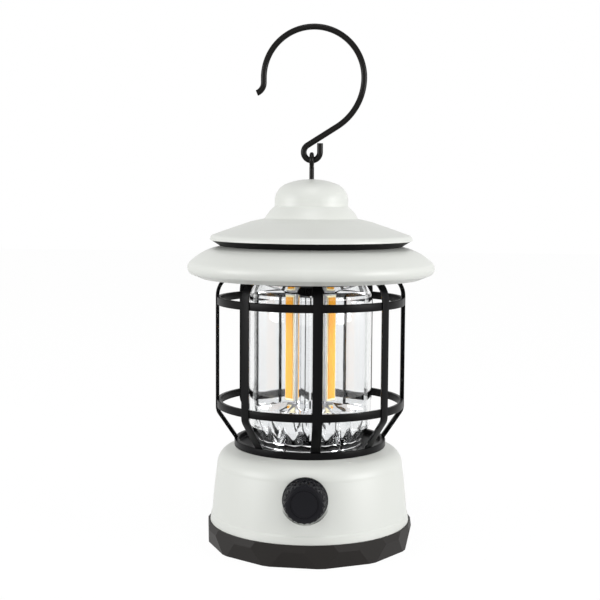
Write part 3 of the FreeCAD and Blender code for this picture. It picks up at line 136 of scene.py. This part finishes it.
# ------------------------------------------------------------------- materials
def grain_group():
    """Fine moulding grain with slow cloudy variation, on object coordinates."""
    group = bpy.data.node_groups.new("moulding_grain", "ShaderNodeTree")
    for name, kind, value in (("Grain Scale", "NodeSocketFloat", 900.0),
                              ("Cloud Scale", "NodeSocketFloat", 40.0),
                              ("Base Roughness", "NodeSocketFloat", 0.4),
                              ("Roughness Spread", "NodeSocketFloat", 0.1),
                              ("Grain Depth", "NodeSocketFloat", 0.1),
                              ("Colour", "NodeSocketColor", (0.5, 0.5, 0.5, 1.0)),
                              ("Worn Colour", "NodeSocketColor", (0.5, 0.5, 0.5, 1.0)),
                              ("Wear", "NodeSocketFloat", 0.2)):
        socket = group.interface.new_socket(name, in_out="INPUT", socket_type=kind)
        socket.default_value = value
    for name, kind in (("Colour", "NodeSocketColor"), ("Roughness", "NodeSocketFloat"),
                       ("Height", "NodeSocketFloat")):
        group.interface.new_socket(name, in_out="OUTPUT", socket_type=kind)
    nodes, link = group.nodes, group.links.new
    enter, leave = nodes.new("NodeGroupInput"), nodes.new("NodeGroupOutput")
    place = nodes.new("ShaderNodeTexCoord")
    grain, cloud = nodes.new("ShaderNodeTexNoise"), nodes.new("ShaderNodeTexNoise")
    grain.inputs["Detail"].default_value = 3.0
    cloud.inputs["Detail"].default_value = 5.0
    for noise, scale in ((grain, "Grain Scale"), (cloud, "Cloud Scale")):
        link(place.outputs["Object"], noise.inputs["Vector"])
        link(enter.outputs[scale], noise.inputs["Scale"])
    centred = nodes.new("ShaderNodeMath")
    centred.operation = "SUBTRACT"
    centred.inputs[1].default_value = 0.5
    link(cloud.outputs["Fac"], centred.inputs[0])
    rough = nodes.new("ShaderNodeMath")
    rough.operation = "MULTIPLY_ADD"
    link(centred.outputs[0], rough.inputs[0])
    link(enter.outputs["Roughness Spread"], rough.inputs[1])
    link(enter.outputs["Base Roughness"], rough.inputs[2])
    link(rough.outputs[0], leave.inputs["Roughness"])
    height = nodes.new("ShaderNodeMath")
    height.operation = "MULTIPLY"
    link(grain.outputs["Fac"], height.inputs[0])
    link(enter.outputs["Grain Depth"], height.inputs[1])
    link(height.outputs[0], leave.inputs["Height"])
    worn = nodes.new("ShaderNodeMath")
    worn.operation = "MULTIPLY"
    link(cloud.outputs["Fac"], worn.inputs[0])
    link(enter.outputs["Wear"], worn.inputs[1])
    blend = nodes.new("ShaderNodeMix")
    blend.data_type = "RGBA"
    link(worn.outputs[0], blend.inputs["Factor"])
    link(enter.outputs["Colour"], blend.inputs["A"])
    link(enter.outputs["Worn Colour"], blend.inputs["B"])
    link(blend.outputs["Result"], leave.inputs["Colour"])
    return group


GRAIN = grain_group()


def finish_of(name, colour, worn, roughness, spread=0.08, grain=700.0, depth=0.2, wear=0.3,
              cloud=45.0, bump=0.00002, **shader):
    """A material whose colour, roughness and grain come from the shared group."""
    material = bpy.data.materials.new(name)
    material.use_nodes = True
    nodes, link = material.node_tree.nodes, material.node_tree.links.new
    skin = nodes["Principled BSDF"]
    group = nodes.new("ShaderNodeGroup")
    group.node_tree = GRAIN
    for socket, value in (("Grain Scale", grain), ("Cloud Scale", cloud), ("Base Roughness", roughness),
                          ("Roughness Spread", spread), ("Grain Depth", depth),
                          ("Colour", (*colour, 1.0)), ("Worn Colour", (*worn, 1.0)), ("Wear", wear)):
        group.inputs[socket].default_value = value
    relief = nodes.new("ShaderNodeBump")
    relief.inputs["Strength"].default_value = 1.0
    relief.inputs["Distance"].default_value = bump
    link(group.outputs["Colour"], skin.inputs["Base Color"])
    link(group.outputs["Roughness"], skin.inputs["Roughness"])
    link(group.outputs["Height"], relief.inputs["Height"])
    link(relief.outputs["Normal"], skin.inputs["Normal"])
    for socket, value in shader.items():
        skin.inputs[socket.replace("_", " ")].default_value = value
    return material


WHITE_SHELL = finish_of("white_shell", (0.690, 0.705, 0.670), (0.630, 0.642, 0.606), 0.42,
                        depth=0.35, wear=0.35, Coat_Weight=0.05, Coat_Roughness=0.25)
WHITE_RUBBER = finish_of("white_rubber", (0.66, 0.67, 0.62), (0.56, 0.57, 0.53), 0.62)
FOOT_RUBBER = finish_of("foot_rubber", (0.013, 0.0115, 0.0105), (0.025, 0.022, 0.020), 0.50,
                        grain=1100.0, depth=0.8, wear=0.5, Specular_IOR_Level=0.17)
SEAL_RUBBER = finish_of("seal_rubber", (0.020, 0.020, 0.020), (0.040, 0.040, 0.040), 0.60)
CAGE_BLACK = finish_of("cage_black", (0.0018, 0.0018, 0.0021), (0.0050, 0.0050, 0.0054), 0.36,
                       grain=1300.0, depth=0.7, wear=0.4, Specular_IOR_Level=0.08)
MOULD_BLACK = finish_of("mould_black", (0.022, 0.022, 0.022), (0.040, 0.040, 0.040), 0.48)
KNOB_BLACK = finish_of("knob_black", (0.0050, 0.0050, 0.0070), (0.009, 0.009, 0.012), 0.32,
                       grain=1500.0, depth=0.3, wear=0.4, Specular_IOR_Level=0.13)
HOOK_BLACK = finish_of("hook_black", (0.0040, 0.0034, 0.0030), (0.009, 0.008, 0.007), 0.22,
                       spread=0.05, grain=500.0, depth=0.1, wear=0.4, Specular_IOR_Level=0.12)
SCREW_STEEL = finish_of("screw_steel", (0.58, 0.58, 0.57), (0.40, 0.40, 0.39), 0.30, Metallic=1.0)
NICKEL = finish_of("nickel", (0.72, 0.69, 0.63), (0.60, 0.57, 0.52), 0.24, Metallic=1.0)
BOARD_GREEN = finish_of("board_green", (0.015, 0.14, 0.055), (0.03, 0.20, 0.08), 0.35, wear=0.6)
CELL_SLEEVE = finish_of("cell_sleeve", (0.05, 0.20, 0.50), (0.08, 0.26, 0.58), 0.30)
WIRE_RED = finish_of("wire_red", (0.45, 0.03, 0.02), (0.55, 0.06, 0.04), 0.45)
MIRROR = finish_of("mirror_chrome", (0.88, 0.88, 0.89), (0.80, 0.80, 0.82), 0.05,
                   spread=0.03, grain=60.0, depth=1.0, bump=0.00008, Metallic=1.0)
LIGHT_GEL = finish_of("light_gel", (0.88, 0.36, 0.022), (0.92, 0.43, 0.035), 0.60, wear=0.8,
                      cloud=120.0, Specular_IOR_Level=0.2)
BOARD_WHITE = finish_of("board_white", (0.70, 0.70, 0.70), (0.62, 0.62, 0.62), 0.25, Metallic=0.6)
LIGHT_RIM = finish_of("light_rim", (0.93, 0.84, 0.52), (0.90, 0.78, 0.45), 0.45)


def clear_plastic():
    """Clear moulded plastic that lets light through to what it covers."""
    material = bpy.data.materials.new("clear_plastic")
    material.use_nodes = True
    nodes, link = material.node_tree.nodes, material.node_tree.links.new
    skin, output = nodes["Principled BSDF"], nodes["Material Output"]
    skin.inputs["Base Color"].default_value = (0.97, 0.98, 0.98, 1.0)
    skin.inputs["Roughness"].default_value = 0.015
    skin.inputs["IOR"].default_value = 1.47
    skin.inputs["Transmission Weight"].default_value = 1.0
    waves = nodes.new("ShaderNodeTexNoise")
    place = nodes.new("ShaderNodeTexCoord")
    waves.inputs["Scale"].default_value = 25.0
    relief = nodes.new("ShaderNodeBump")
    relief.inputs["Distance"].default_value = 0.00006
    link(place.outputs["Object"], waves.inputs["Vector"])
    link(waves.outputs["Fac"], relief.inputs["Height"])
    link(relief.outputs["Normal"], skin.inputs["Normal"])
    through, route, mix = (nodes.new("ShaderNodeBsdfTransparent"), nodes.new("ShaderNodeLightPath"),
                           nodes.new("ShaderNodeMixShader"))
    link(route.outputs["Is Shadow Ray"], mix.inputs[0])
    link(skin.outputs[0], mix.inputs[1])
    link(through.outputs[0], mix.inputs[2])
    link(mix.outputs[0], output.inputs["Surface"])
    return material


CLEAR = clear_plastic()

FINISHES = {
    "foot_ring": FOOT_RUBBER, "bottom_cover": MOULD_BLACK, "cover_screws": SCREW_STEEL,
    "base_housing": WHITE_SHELL, "battery_cradle": MOULD_BLACK, "battery_cells": CELL_SLEEVE,
    "battery_contacts": NICKEL, "control_board": BOARD_GREEN, "board_screws": SCREW_STEEL,
    "charging_socket": NICKEL, "flap_anchor": WHITE_RUBBER, "port_flap": WHITE_RUBBER,
    "dimmer_body": NICKEL, "dimmer_washer": SCREW_STEEL, "dimmer_nut": SCREW_STEEL,
    "dimmer_shaft": SCREW_STEEL, "dimmer_knob": KNOB_BLACK, "cage_collar": CAGE_BLACK,
    "collar_screws": SCREW_STEEL, "cage_ribs": CAGE_BLACK, "lower_cage_ring": CAGE_BLACK,
    "upper_cage_ring": CAGE_BLACK, "cage_crown": MOULD_BLACK, "crown_screws": SCREW_STEEL,
    "lens": CLEAR, "lower_lens_seal": SEAL_RUBBER, "upper_lens_seal": SEAL_RUBBER,
    "lower_reflector": MIRROR, "upper_reflector": MIRROR, "reflector_core": MIRROR,
    "led_boards": BOARD_WHITE, "led_strips": LIGHT_GEL, "led_harness": WIRE_RED,
    # shade_spacer takes the darkest black: partly its own black plastic, partly painted shade for the
    # shadow under the dome's overhang
    "lower_shade": WHITE_SHELL, "shade_spacer": CAGE_BLACK, "upper_shade": WHITE_SHELL,
    "eye_bolt": HOOK_BLACK, "eye_washer": SCREW_STEEL, "eye_nut": SCREW_STEEL,
    "lantern_hook": HOOK_BLACK,
}
for node_name, finish in FINISHES.items():
    for slot in NODES[node_name].material_slots:
        slot.material = finish


# --------------------------------------------------------------- making pieces
def closed_loop(bm, points):
    """A closed loop of edges through the points."""
    corners = [bm.verts.new(point) for point in points]
    return [bm.edges.new(pair) for pair in zip(corners, corners[1:] + corners[:1])]


def only(kind, geometry):
    """The members of an operator's result that are of one kind."""
    return [item for item in geometry if isinstance(item, kind)]


def everything(bm):
    """All the corners, edges and faces of a shape."""
    return bm.verts[:] + bm.edges[:] + bm.faces[:]


def spun(outline, steps=128, rounding=0.0, segments=3):
    """A solid turned about Z from a closed outline of (radius, height) points."""
    bm = bmesh.new()
    loop = closed_loop(bm, [(radius, 0, height) for radius, height in outline])
    if rounding:
        bm.faces.new([edge.verts[0] for edge in loop])
        bmesh.ops.bevel(bm, geom=bm.verts[:], offset=rounding, segments=segments, profile=0.5,
                        affect="VERTICES", clamp_overlap=True, material=-1)
        bmesh.ops.delete(bm, geom=bm.faces[:], context="FACES_ONLY")
    bmesh.ops.spin(bm, geom=bm.verts[:] + bm.edges[:], cent=(0, 0, 0), axis=(0, 0, 1), dvec=(0, 0, 0),
                   angle=FULL_TURN, steps=steps, use_merge=True)
    return bm


def run(bm, loop, step):
    """Extrudes a loop of edges in a straight line and gives the new loop."""
    made = bmesh.ops.extrude_edge_only(bm, edges=loop)["geom"]
    corners = only(bmesh.types.BMVert, made)
    bmesh.ops.translate(bm, verts=corners, vec=step)
    return [edge for edge in only(bmesh.types.BMEdge, made) if set(edge.verts) <= set(corners)]


def bend(bm, loop, centre, axis, angle, steps):
    """Turns a loop of edges about an axis and gives the last loop."""
    made = bmesh.ops.spin(bm, geom=loop, cent=centre, axis=axis, dvec=(0, 0, 0),
                          angle=angle, steps=steps, use_merge=False)["geom_last"]
    return only(bmesh.types.BMEdge, made)


def copies_round(bm, count, start):
    """Turns a shape to its starting angle and repeats it evenly about Z."""
    bmesh.ops.rotate(bm, verts=bm.verts, cent=(0, 0, 0), matrix=Matrix.Rotation(start, 3, "Z"))
    bmesh.ops.spin(bm, geom=everything(bm), cent=(0, 0, 0), axis=(0, 0, 1), dvec=(0, 0, 0),
                   angle=FULL_TURN * (count - 1) / count, steps=count - 1, use_duplicate=True)


def round_edges(bm, width, sharpest=40.0, segments=2):
    """Rounds each edge where two faces meet at more than an angle."""
    sharp = [edge for edge in bm.edges
             if len(edge.link_faces) == 2 and edge.calc_face_angle(0.0) > math.radians(sharpest)]
    bmesh.ops.bevel(bm, geom=sharp, offset=width, segments=segments, profile=0.5,
                    affect="EDGES", clamp_overlap=True, material=-1)


def piece(name, bm, finish, stands_for=(), body="lantern", crease=35.0):
    """Turns a finished bmesh into a piece that rides on a body."""
    bmesh.ops.remove_doubles(bm, verts=bm.verts, dist=SAME_PLACE)
    bmesh.ops.recalc_face_normals(bm, faces=bm.faces)
    mesh = bpy.data.meshes.new(name)
    bm.to_mesh(mesh)
    bm.free()
    mesh.shade_smooth()
    mesh.set_sharp_from_angle(angle=math.radians(crease))
    mesh.materials.append(finish)
    made = bpy.data.objects.new(name, mesh)
    bpy.context.collection.objects.link(made)
    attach(made, body)
    if stands_for:
        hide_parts(*stands_for)
    return made


# ------------------------------------------------------------------------- cage
def make_rib_bars():
    """Eight bars: over the crown, down the side, in to the collar."""
    crown_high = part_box("cage_crown")[1]
    collar_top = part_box("cage_collar")[1].z
    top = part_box("cage_ribs")[1].z - RIB_THICKNESS / 2
    centre = RIB_RADIUS - RIB_THICKNESS / 2
    foot_run, foot_drop = centre - RIB_FOOT_RADIUS, RIB_LOW_CORNER - collar_top
    lean = math.atan2(foot_run, foot_drop)
    setback = RIB_LOW_BEND * math.tan(lean / 2)
    start = crown_high.x - RIB_CROWN_LAP
    bm = bmesh.new()
    section = [(start, side * width / 2, top + rise * RIB_THICKNESS / 2)
               for side, width, rise in ((-1, RIB_INNER_WIDTH, -1), (1, RIB_INNER_WIDTH, -1),
                                         (1, RIB_OUTER_WIDTH, 1), (-1, RIB_OUTER_WIDTH, 1))]
    first = closed_loop(bm, section)
    loop = run(bm, first, (centre - RIB_TOP_BEND - start, 0, 0))
    loop = bend(bm, loop, (centre - RIB_TOP_BEND, 0, top - RIB_TOP_BEND), (0, 1, 0), math.pi / 2, 12)
    drop = top - RIB_TOP_BEND - RIB_LOW_CORNER - setback
    loop = run(bm, loop, (0, 0, -drop))
    loop = bend(bm, loop, (centre - RIB_LOW_BEND, 0, RIB_LOW_CORNER + setback), (0, 1, 0), lean, 6)
    reach = math.hypot(foot_run, foot_drop) - setback - RIB_FOOT_LIFT
    loop = run(bm, loop, (-reach * math.sin(lean), 0, -reach * math.cos(lean)))
    for end in (first, loop):
        bmesh.ops.edgeloop_fill(bm, edges=end)
    bmesh.ops.recalc_face_normals(bm, faces=bm.faces)
    round_edges(bm, RIB_ROUNDING, sharpest=50.0, segments=3)
    copies_round(bm, RIB_COUNT, CAGE_TURN)
    piece("rib_bars", bm, CAGE_BLACK, ["cage_ribs"])


def make_hoop(name, node):
    """A flat hoop with softened corners, let into the ribs."""
    low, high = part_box(node)
    outer = (high.x - low.x) / 2
    inner = outer - HOOP_THICKNESS
    bm = spun([(inner, low.z), (outer, low.z), (outer, high.z), (inner, high.z)],
              rounding=HOOP_ROUNDING)
    piece(name, bm, CAGE_BLACK, [node])


def make_collar():
    """The black tray on the deck, with a rounded rim round its floor."""
    low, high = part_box("cage_collar")
    outer, inner = high.x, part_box("lens")[1].x - COLLAR_BORE_INSET
    rim, floor = outer - COLLAR_RIM_WIDTH, low.z + COLLAR_FLOOR
    bm = spun([(inner, low.z), (outer, low.z), (outer, high.z), (rim, high.z), (rim, floor),
               (inner, floor)], rounding=COLLAR_ROUNDING)
    piece("collar_ring", bm, CAGE_BLACK, ["cage_collar"])


# ------------------------------------------------------------------------- knob
def knurled_side(wide, length):
    """Rows of the knob's side up to the face, as (radius, height): the band, then the chamfer."""
    narrow = KNOB_SIDE_RADIUS - KNURL_SINK
    top = length - KNOB_CHAMFER - KNURL_TOP_GAP
    band = [(wide + (narrow - wide) * row / KNURL_SIDE_ROWS,
             KNOB_FLANGE + (top - KNOB_FLANGE) * row / KNURL_SIDE_ROWS)
            for row in range(KNURL_SIDE_ROWS + 1)]
    return band + [(KNOB_FACE_RADIUS + KNOB_CHAMFER_BOW, length - KNOB_CHAMFER / 2),
                   (KNOB_FACE_RADIUS, length - KNOB_RING_DEPTH)]


def make_grip_knob():
    """The dimmer's knob: a flange, a tapered side cut in diamonds, a ringed and dished face."""
    low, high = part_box("dimmer_knob")
    radius, length = (high.x - low.x) / 2, high.y - low.y
    edge, ring, groove = KNOB_FLANGE_EDGE, KNOB_RING_RADIUS, length - KNOB_RING_DEPTH
    side = knurled_side(radius - KNOB_FLANGE_STEP, length)
    outline = [(0.0, 0.0), (radius - edge, 0.0), (radius, edge), (radius, KNOB_FLANGE - edge),
               (radius - edge, KNOB_FLANGE)] + side
    outline += [(KNOB_FACE_RADIUS - KNOB_FACE_EDGE, length), (ring, length),
                (ring - KNOB_RING_SLOPE, groove), (ring - KNOB_RING_WIDTH + KNOB_RING_SLOPE, groove),
                (ring - KNOB_RING_WIDTH, length - KNOB_FACE_DISH / 4),
                (ring / 2, length - KNOB_FACE_DISH * 3 / 4), (0.0, length - KNOB_FACE_DISH)]
    bm = bmesh.new()
    corners = [bm.verts.new((across, 0, along)) for across, along in outline]
    wire = [bm.edges.new(pair) for pair in zip(corners, corners[1:])]
    bmesh.ops.spin(bm, geom=corners + wire, cent=(0, 0, 0), axis=(0, 0, 1), dvec=(0, 0, 0),
                   angle=FULL_TURN, steps=KNURL_COLUMNS, use_merge=True)
    bmesh.ops.remove_doubles(bm, verts=bm.verts, dist=SAME_PLACE)
    bmesh.ops.recalc_face_normals(bm, faces=bm.faces)
    cut_diamonds(bm, side)
    bmesh.ops.rotate(bm, verts=bm.verts, cent=(0, 0, 0), matrix=Matrix.Rotation(math.pi / 2, 3, "X"))
    bmesh.ops.translate(bm, verts=bm.verts, vec=(0, high.y, KNOB_HEIGHT))
    piece("grip_knob", bm, KNOB_BLACK, ["dimmer_knob"], body="knob", crease=18.0)


def cut_diamonds(bm, side):
    """Raises every other corner of the side, with ridges from corner to corner."""
    raised = set()
    for vert in bm.verts:
        across, angle = Vector(vert.co[:2]).length, math.atan2(vert.co.y, vert.co.x)
        column = round(angle / FULL_TURN * KNURL_COLUMNS)
        for row, (radius, height) in enumerate(side):
            on_row = abs(vert.co.z - height) < ON_ROW and abs(across - radius) < ON_ROW
            if on_row and (row + column) % 2 == 0:
                raised.add(vert)
    band = [face for face in bm.faces
            if len(face.verts) == 4 and sum(vert in raised for vert in face.verts) == 2
            and side[0][1] < face.calc_center_median().z < side[-1][1]]
    for vert in raised:
        lift = 1 + KNURL_DEPTH / Vector(vert.co[:2]).length
        vert.co.x *= lift
        vert.co.y *= lift
    for face in band:
        ends = [vert for vert in face.verts if vert in raised]
        bmesh.utils.face_split(face, ends[0], ends[1])


# ------------------------------------------------------- lens, reflector, lights
def make_barrel():
    """The clear barrel, narrowed to a neck at each end."""
    low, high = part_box("lens")
    radius, neck = high.x, high.x - LENS_NECK_INSET
    neck_low, barrel_low = low.z + LENS_NECK_LENGTH, low.z + LENS_LOW_SHOULDER
    barrel_high, neck_high = high.z - LENS_HIGH_SHOULDER, high.z - LENS_NECK_LENGTH
    outer = [(neck, low.z), (neck, neck_low), (radius, barrel_low), (radius, barrel_high),
             (neck, neck_high), (neck, high.z)]
    inner = [(across - LENS_WALL, along) for across, along in reversed(outer)]
    bm = spun(outer + inner, steps=160, rounding=LENS_ROUNDING, segments=6)
    piece("clear_barrel", bm, CLEAR, ["lens"], crease=50.0)


def between(first, last):
    """The points that divide the way from one (radius, height) to another, the first left out."""
    shares = [step / DISH_STEPS for step in range(1, DISH_STEPS + 1)]
    return [(first[0] + (last[0] - first[0]) * share, first[1] + (last[1] - first[1]) * share)
            for share in shares]


def make_dish():
    """The chromed dish: folds fan out from its hub over the rim and down its skirt."""
    low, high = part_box("lower_reflector")
    rim, foot, hub = high.x, high.x - DISH_FOOT_INSET, DISH_HUB_RADIUS
    rim_height, bend_height = high.z - DISH_FALL, low.z + DISH_FOOT_HEIGHT
    outline = [(foot, low.z), (foot, bend_height)]
    outline += between((foot, bend_height), (rim, rim_height))
    outline += between((rim, rim_height), (hub, high.z))
    outline += [(DISH_BORE_RADIUS, high.z), (DISH_BORE_RADIUS, high.z - DISH_WALL),
                (hub, high.z - DISH_WALL), (foot - DISH_WALL, low.z)]
    bm = spun(outline, steps=PLEAT_COUNT * PLEAT_STEPS)
    for vert in bm.verts:
        across = Vector(vert.co[:2]).length
        on_hub, on_foot = across < hub - ON_HUB, vert.co.z < bend_height
        if on_hub or on_foot or across < foot and vert.co.z < rim_height:
            continue
        angle = math.atan2(vert.co.y, vert.co.x) - CORE_TURN
        inside = max(0.0, (vert.co.z - rim_height) / (high.z - rim_height))
        reach = (across - foot) if inside == 0.0 else (rim - foot) * (1 - inside)
        fold = 1 - reach / across * abs((PLEAT_COUNT * angle / FULL_TURN) % 1 - 0.5) * 2
        vert.co.x *= fold
        vert.co.y *= fold
        petal = 0.5 + 0.5 * math.cos(PETAL_COUNT * (angle - math.pi / PETAL_COUNT))
        vert.co.z -= PETAL_DEPTH * math.sin(math.pi * inside) * petal
    piece("petal_dish", bm, MIRROR, ["lower_reflector"], crease=22.0)


def bar_on_troughs(width, thickness, radius, bottom, top, rounding):
    """An upright bar on each of the core's four trough floors."""
    bm = bmesh.new()
    bmesh.ops.create_cube(bm, size=1.0)
    bmesh.ops.scale(bm, verts=bm.verts, vec=(thickness, width, top - bottom))
    bmesh.ops.translate(bm, verts=bm.verts, vec=(radius + thickness / 2, 0, (top + bottom) / 2))
    round_edges(bm, rounding, segments=3)
    copies_round(bm, STRIP_COUNT, CORE_TURN + math.pi / STRIP_COUNT)
    return bm


def make_light_bars():
    """The four lit strips: a pale rim with a domed orange bar of gel on it."""
    low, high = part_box("led_strips")
    rim = bar_on_troughs(STRIP_WIDTH, STRIP_THICKNESS, TROUGH_RADIUS, low.z, high.z, STRIP_ROUNDING)
    piece("light_rims", rim, LIGHT_RIM, ["led_strips"])
    gel = bar_on_troughs(GEL_WIDTH, GEL_THICKNESS, TROUGH_RADIUS + GEL_LIFT,
                         low.z + GEL_END_GAP, high.z - GEL_END_GAP, GEL_ROUNDING)
    piece("light_gel_bars", gel, LIGHT_GEL)


# ----------------------------------------------------------------------- screws
def cross_head(radius, height, slot_width, slot_depth):
    """A pan screw head, face up at z 0, with a cross recess."""
    bm = bmesh.new()
    bmesh.ops.create_circle(bm, cap_ends=True, radius=radius, segments=32)
    reach = radius * CROSS_SHARE
    for normal in ((1, 0, 0), (0, 1, 0)):
        for offset in (-reach, -slot_width / 2, slot_width / 2, reach):
            bmesh.ops.bisect_plane(bm, geom=everything(bm), dist=0.0000001,
                                   plane_co=Vector(normal) * offset, plane_no=normal)
    cross = []
    for face in bm.faces:
        middle = face.calc_center_median()
        along, across = max(abs(middle.x), abs(middle.y)), min(abs(middle.x), abs(middle.y))
        if across < slot_width / 2 and along < reach:
            cross.append(face)
    sunk = bmesh.ops.extrude_face_region(bm, geom=cross)["geom"]
    bmesh.ops.delete(bm, geom=cross, context="FACES_ONLY")
    bmesh.ops.translate(bm, verts=only(bmesh.types.BMVert, sunk), vec=(0, 0, -slot_depth))
    rim = [edge for edge in bm.edges if len(edge.link_faces) == 1]
    skirt = bmesh.ops.extrude_edge_only(bm, edges=rim)["geom"]
    bmesh.ops.translate(bm, verts=only(bmesh.types.BMVert, skirt), vec=(0, 0, -height))
    bmesh.ops.holes_fill(bm, edges=[edge for edge in bm.edges if len(edge.link_faces) == 1])
    return bm


def make_cover_screws():
    """The four screws sunk in the bottom cover, seen from below."""
    low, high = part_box("cover_screws")
    reach_x, reach_y = high.x - SCREW_HEAD_RADIUS, high.y - SCREW_HEAD_RADIUS
    bm = cross_head(SCREW_HEAD_RADIUS, SCREW_HEAD_HEIGHT, CROSS_WIDTH, CROSS_DEPTH)
    bmesh.ops.rotate(bm, verts=bm.verts, cent=(0, 0, 0), matrix=Matrix.Rotation(math.pi, 3, "X"))
    bmesh.ops.translate(bm, verts=bm.verts, vec=(reach_x, reach_y, low.z))
    single = everything(bm)
    for place in ((-2 * reach_x, 0), (-2 * reach_x, -2 * reach_y), (0, -2 * reach_y)):
        copied = bmesh.ops.duplicate(bm, geom=single)["geom"]
        bmesh.ops.translate(bm, verts=only(bmesh.types.BMVert, copied), vec=(*place, 0))
    piece("cross_screws", bm, SCREW_STEEL, ["cover_screws"], crease=30.0)


make_rib_bars()
make_hoop("low_hoop", "lower_cage_ring")
make_hoop("high_hoop", "upper_cage_ring")
make_collar()
make_grip_knob()
make_barrel()
make_dish()
make_light_bars()
make_cover_screws()


# ------------------------------------------------------- stage, lights, camera
def seen_sharply(nodes, link):
    """One for what is seen straight, through clear plastic or in a mirror, else nought."""
    route = nodes.new("ShaderNodeLightPath")
    through, mirrored = nodes.new("ShaderNodeMath"), nodes.new("ShaderNodeMath")
    through.operation = mirrored.operation = "MAXIMUM"
    link(route.outputs["Is Camera Ray"], through.inputs[0])
    link(route.outputs["Is Transmission Ray"], through.inputs[1])
    link(through.outputs[0], mirrored.inputs[0])
    link(route.outputs["Is Glossy Ray"], mirrored.inputs[1])
    return mirrored.outputs[0]


def white_world():
    """Plain grey light all round; the camera and mirrors see it as white."""
    world = bpy.data.worlds.new("studio")
    bpy.context.scene.world = world
    world.use_nodes = True
    nodes, link = world.node_tree.nodes, world.node_tree.links.new
    sky, output = nodes["Background"], nodes["World Output"]
    sky.inputs["Color"].default_value = (1.0, 1.0, 1.0, 1.0)
    sky.inputs["Strength"].default_value = SKY_STRENGTH
    white, mix = nodes.new("ShaderNodeBackground"), nodes.new("ShaderNodeMixShader")
    white.inputs["Color"].default_value = (1.0, 1.0, 1.0, 1.0)
    link(seen_sharply(nodes, link), mix.inputs[0])
    link(sky.outputs[0], mix.inputs[1])
    link(white.outputs[0], mix.inputs[2])
    link(mix.outputs[0], output.inputs["Surface"])


def pale_floor():
    """A wide white floor with a soft contact shadow, seen through from below."""
    bm = bmesh.new()
    bmesh.ops.create_grid(bm, x_segments=1, y_segments=1, size=FLOOR_REACH)
    bmesh.ops.translate(bm, verts=bm.verts, vec=(0, 0, -FLOOR_DROP))
    mesh = bpy.data.meshes.new("floor")
    bm.to_mesh(mesh)
    bm.free()
    floor = bpy.data.objects.new("floor", mesh)
    bpy.context.collection.objects.link(floor)
    material = bpy.data.materials.new("floor_white")
    material.use_nodes = True
    nodes, link = material.node_tree.nodes, material.node_tree.links.new
    skin, output = nodes["Principled BSDF"], nodes["Material Output"]
    skin.inputs["Base Color"].default_value = (0.62, 0.62, 0.62, 1.0)
    skin.inputs["Roughness"].default_value = 0.9
    glow, share = nodes.new("ShaderNodeEmission"), nodes.new("ShaderNodeMath")
    glow.inputs["Strength"].default_value = FLOOR_GLOW
    share.operation = "MULTIPLY"
    share.inputs[1].default_value = FLOOR_GLOW_SHARE
    mix = nodes.new("ShaderNodeMixShader")
    link(seen_sharply(nodes, link), share.inputs[0])
    link(share.outputs[0], mix.inputs[0])
    link(skin.outputs[0], mix.inputs[1])
    link(glow.outputs[0], mix.inputs[2])
    side, clear, sides = (nodes.new("ShaderNodeNewGeometry"), nodes.new("ShaderNodeBsdfTransparent"),
                          nodes.new("ShaderNodeMixShader"))
    link(side.outputs["Backfacing"], sides.inputs[0])
    link(mix.outputs[0], sides.inputs[1])
    link(clear.outputs[0], sides.inputs[2])
    link(sides.outputs[0], output.inputs["Surface"])
    mesh.materials.append(material)


def soft_lamp(name, place, aim, size, watts):
    """A square lamp at a place, aimed at a height on the lantern's axis."""
    data = bpy.data.lights.new(name, "AREA")
    data.shape, data.size, data.energy = "SQUARE", size, watts
    lamp = bpy.data.objects.new(name, data)
    lamp.location = place
    lamp.rotation_euler = (Vector((0, 0, aim)) - Vector(place)).to_track_quat("-Z", "Y").to_euler()
    bpy.context.collection.objects.link(lamp)


CAMERA_DISTANCE = 0.6049
CAMERA_HEIGHT = 0.1781
CAMERA_AZIMUTH = 2.4
CAMERA_PITCH = 5.15
CAMERA_ROLL = 0.4
CAMERA_LENS = 71.76
CAMERA_SENSOR = 36.0
CAMERA_SHIFT = -0.0180


def front_camera():
    """The camera, a little above the shades' height, looking slightly down."""
    data = bpy.data.cameras.new("camera")
    data.lens, data.sensor_width, data.shift_x = CAMERA_LENS, CAMERA_SENSOR, CAMERA_SHIFT
    camera = bpy.data.objects.new("camera", data)
    turn = math.radians(CAMERA_AZIMUTH)
    camera.location = (CAMERA_DISTANCE * math.sin(turn), -CAMERA_DISTANCE * math.cos(turn), CAMERA_HEIGHT)
    tilt = Matrix.Rotation(math.radians(90 - CAMERA_PITCH), 4, "X")
    roll = Matrix.Rotation(math.radians(CAMERA_ROLL), 4, "Z")
    camera.rotation_euler = (Matrix.Rotation(turn, 4, "Z") @ tilt @ roll).to_euler()
    bpy.context.collection.objects.link(camera)
    bpy.context.scene.camera = camera


white_world()
pale_floor()
soft_lamp("key", (1.35, -0.55, 0.30), 0.12, 0.8, 16.6)
soft_lamp("fill", (-1.35, -0.60, 0.28), 0.12, 0.8, 14.2)
soft_lamp("front", (-0.1, -1.5, 0.10), 0.10, 0.8, 2.2)
soft_lamp("top", (0, -0.45, 1.40), 0.15, 0.6, 4.4)
front_camera()
bpy.context.scene.view_settings.view_transform = "Standard"
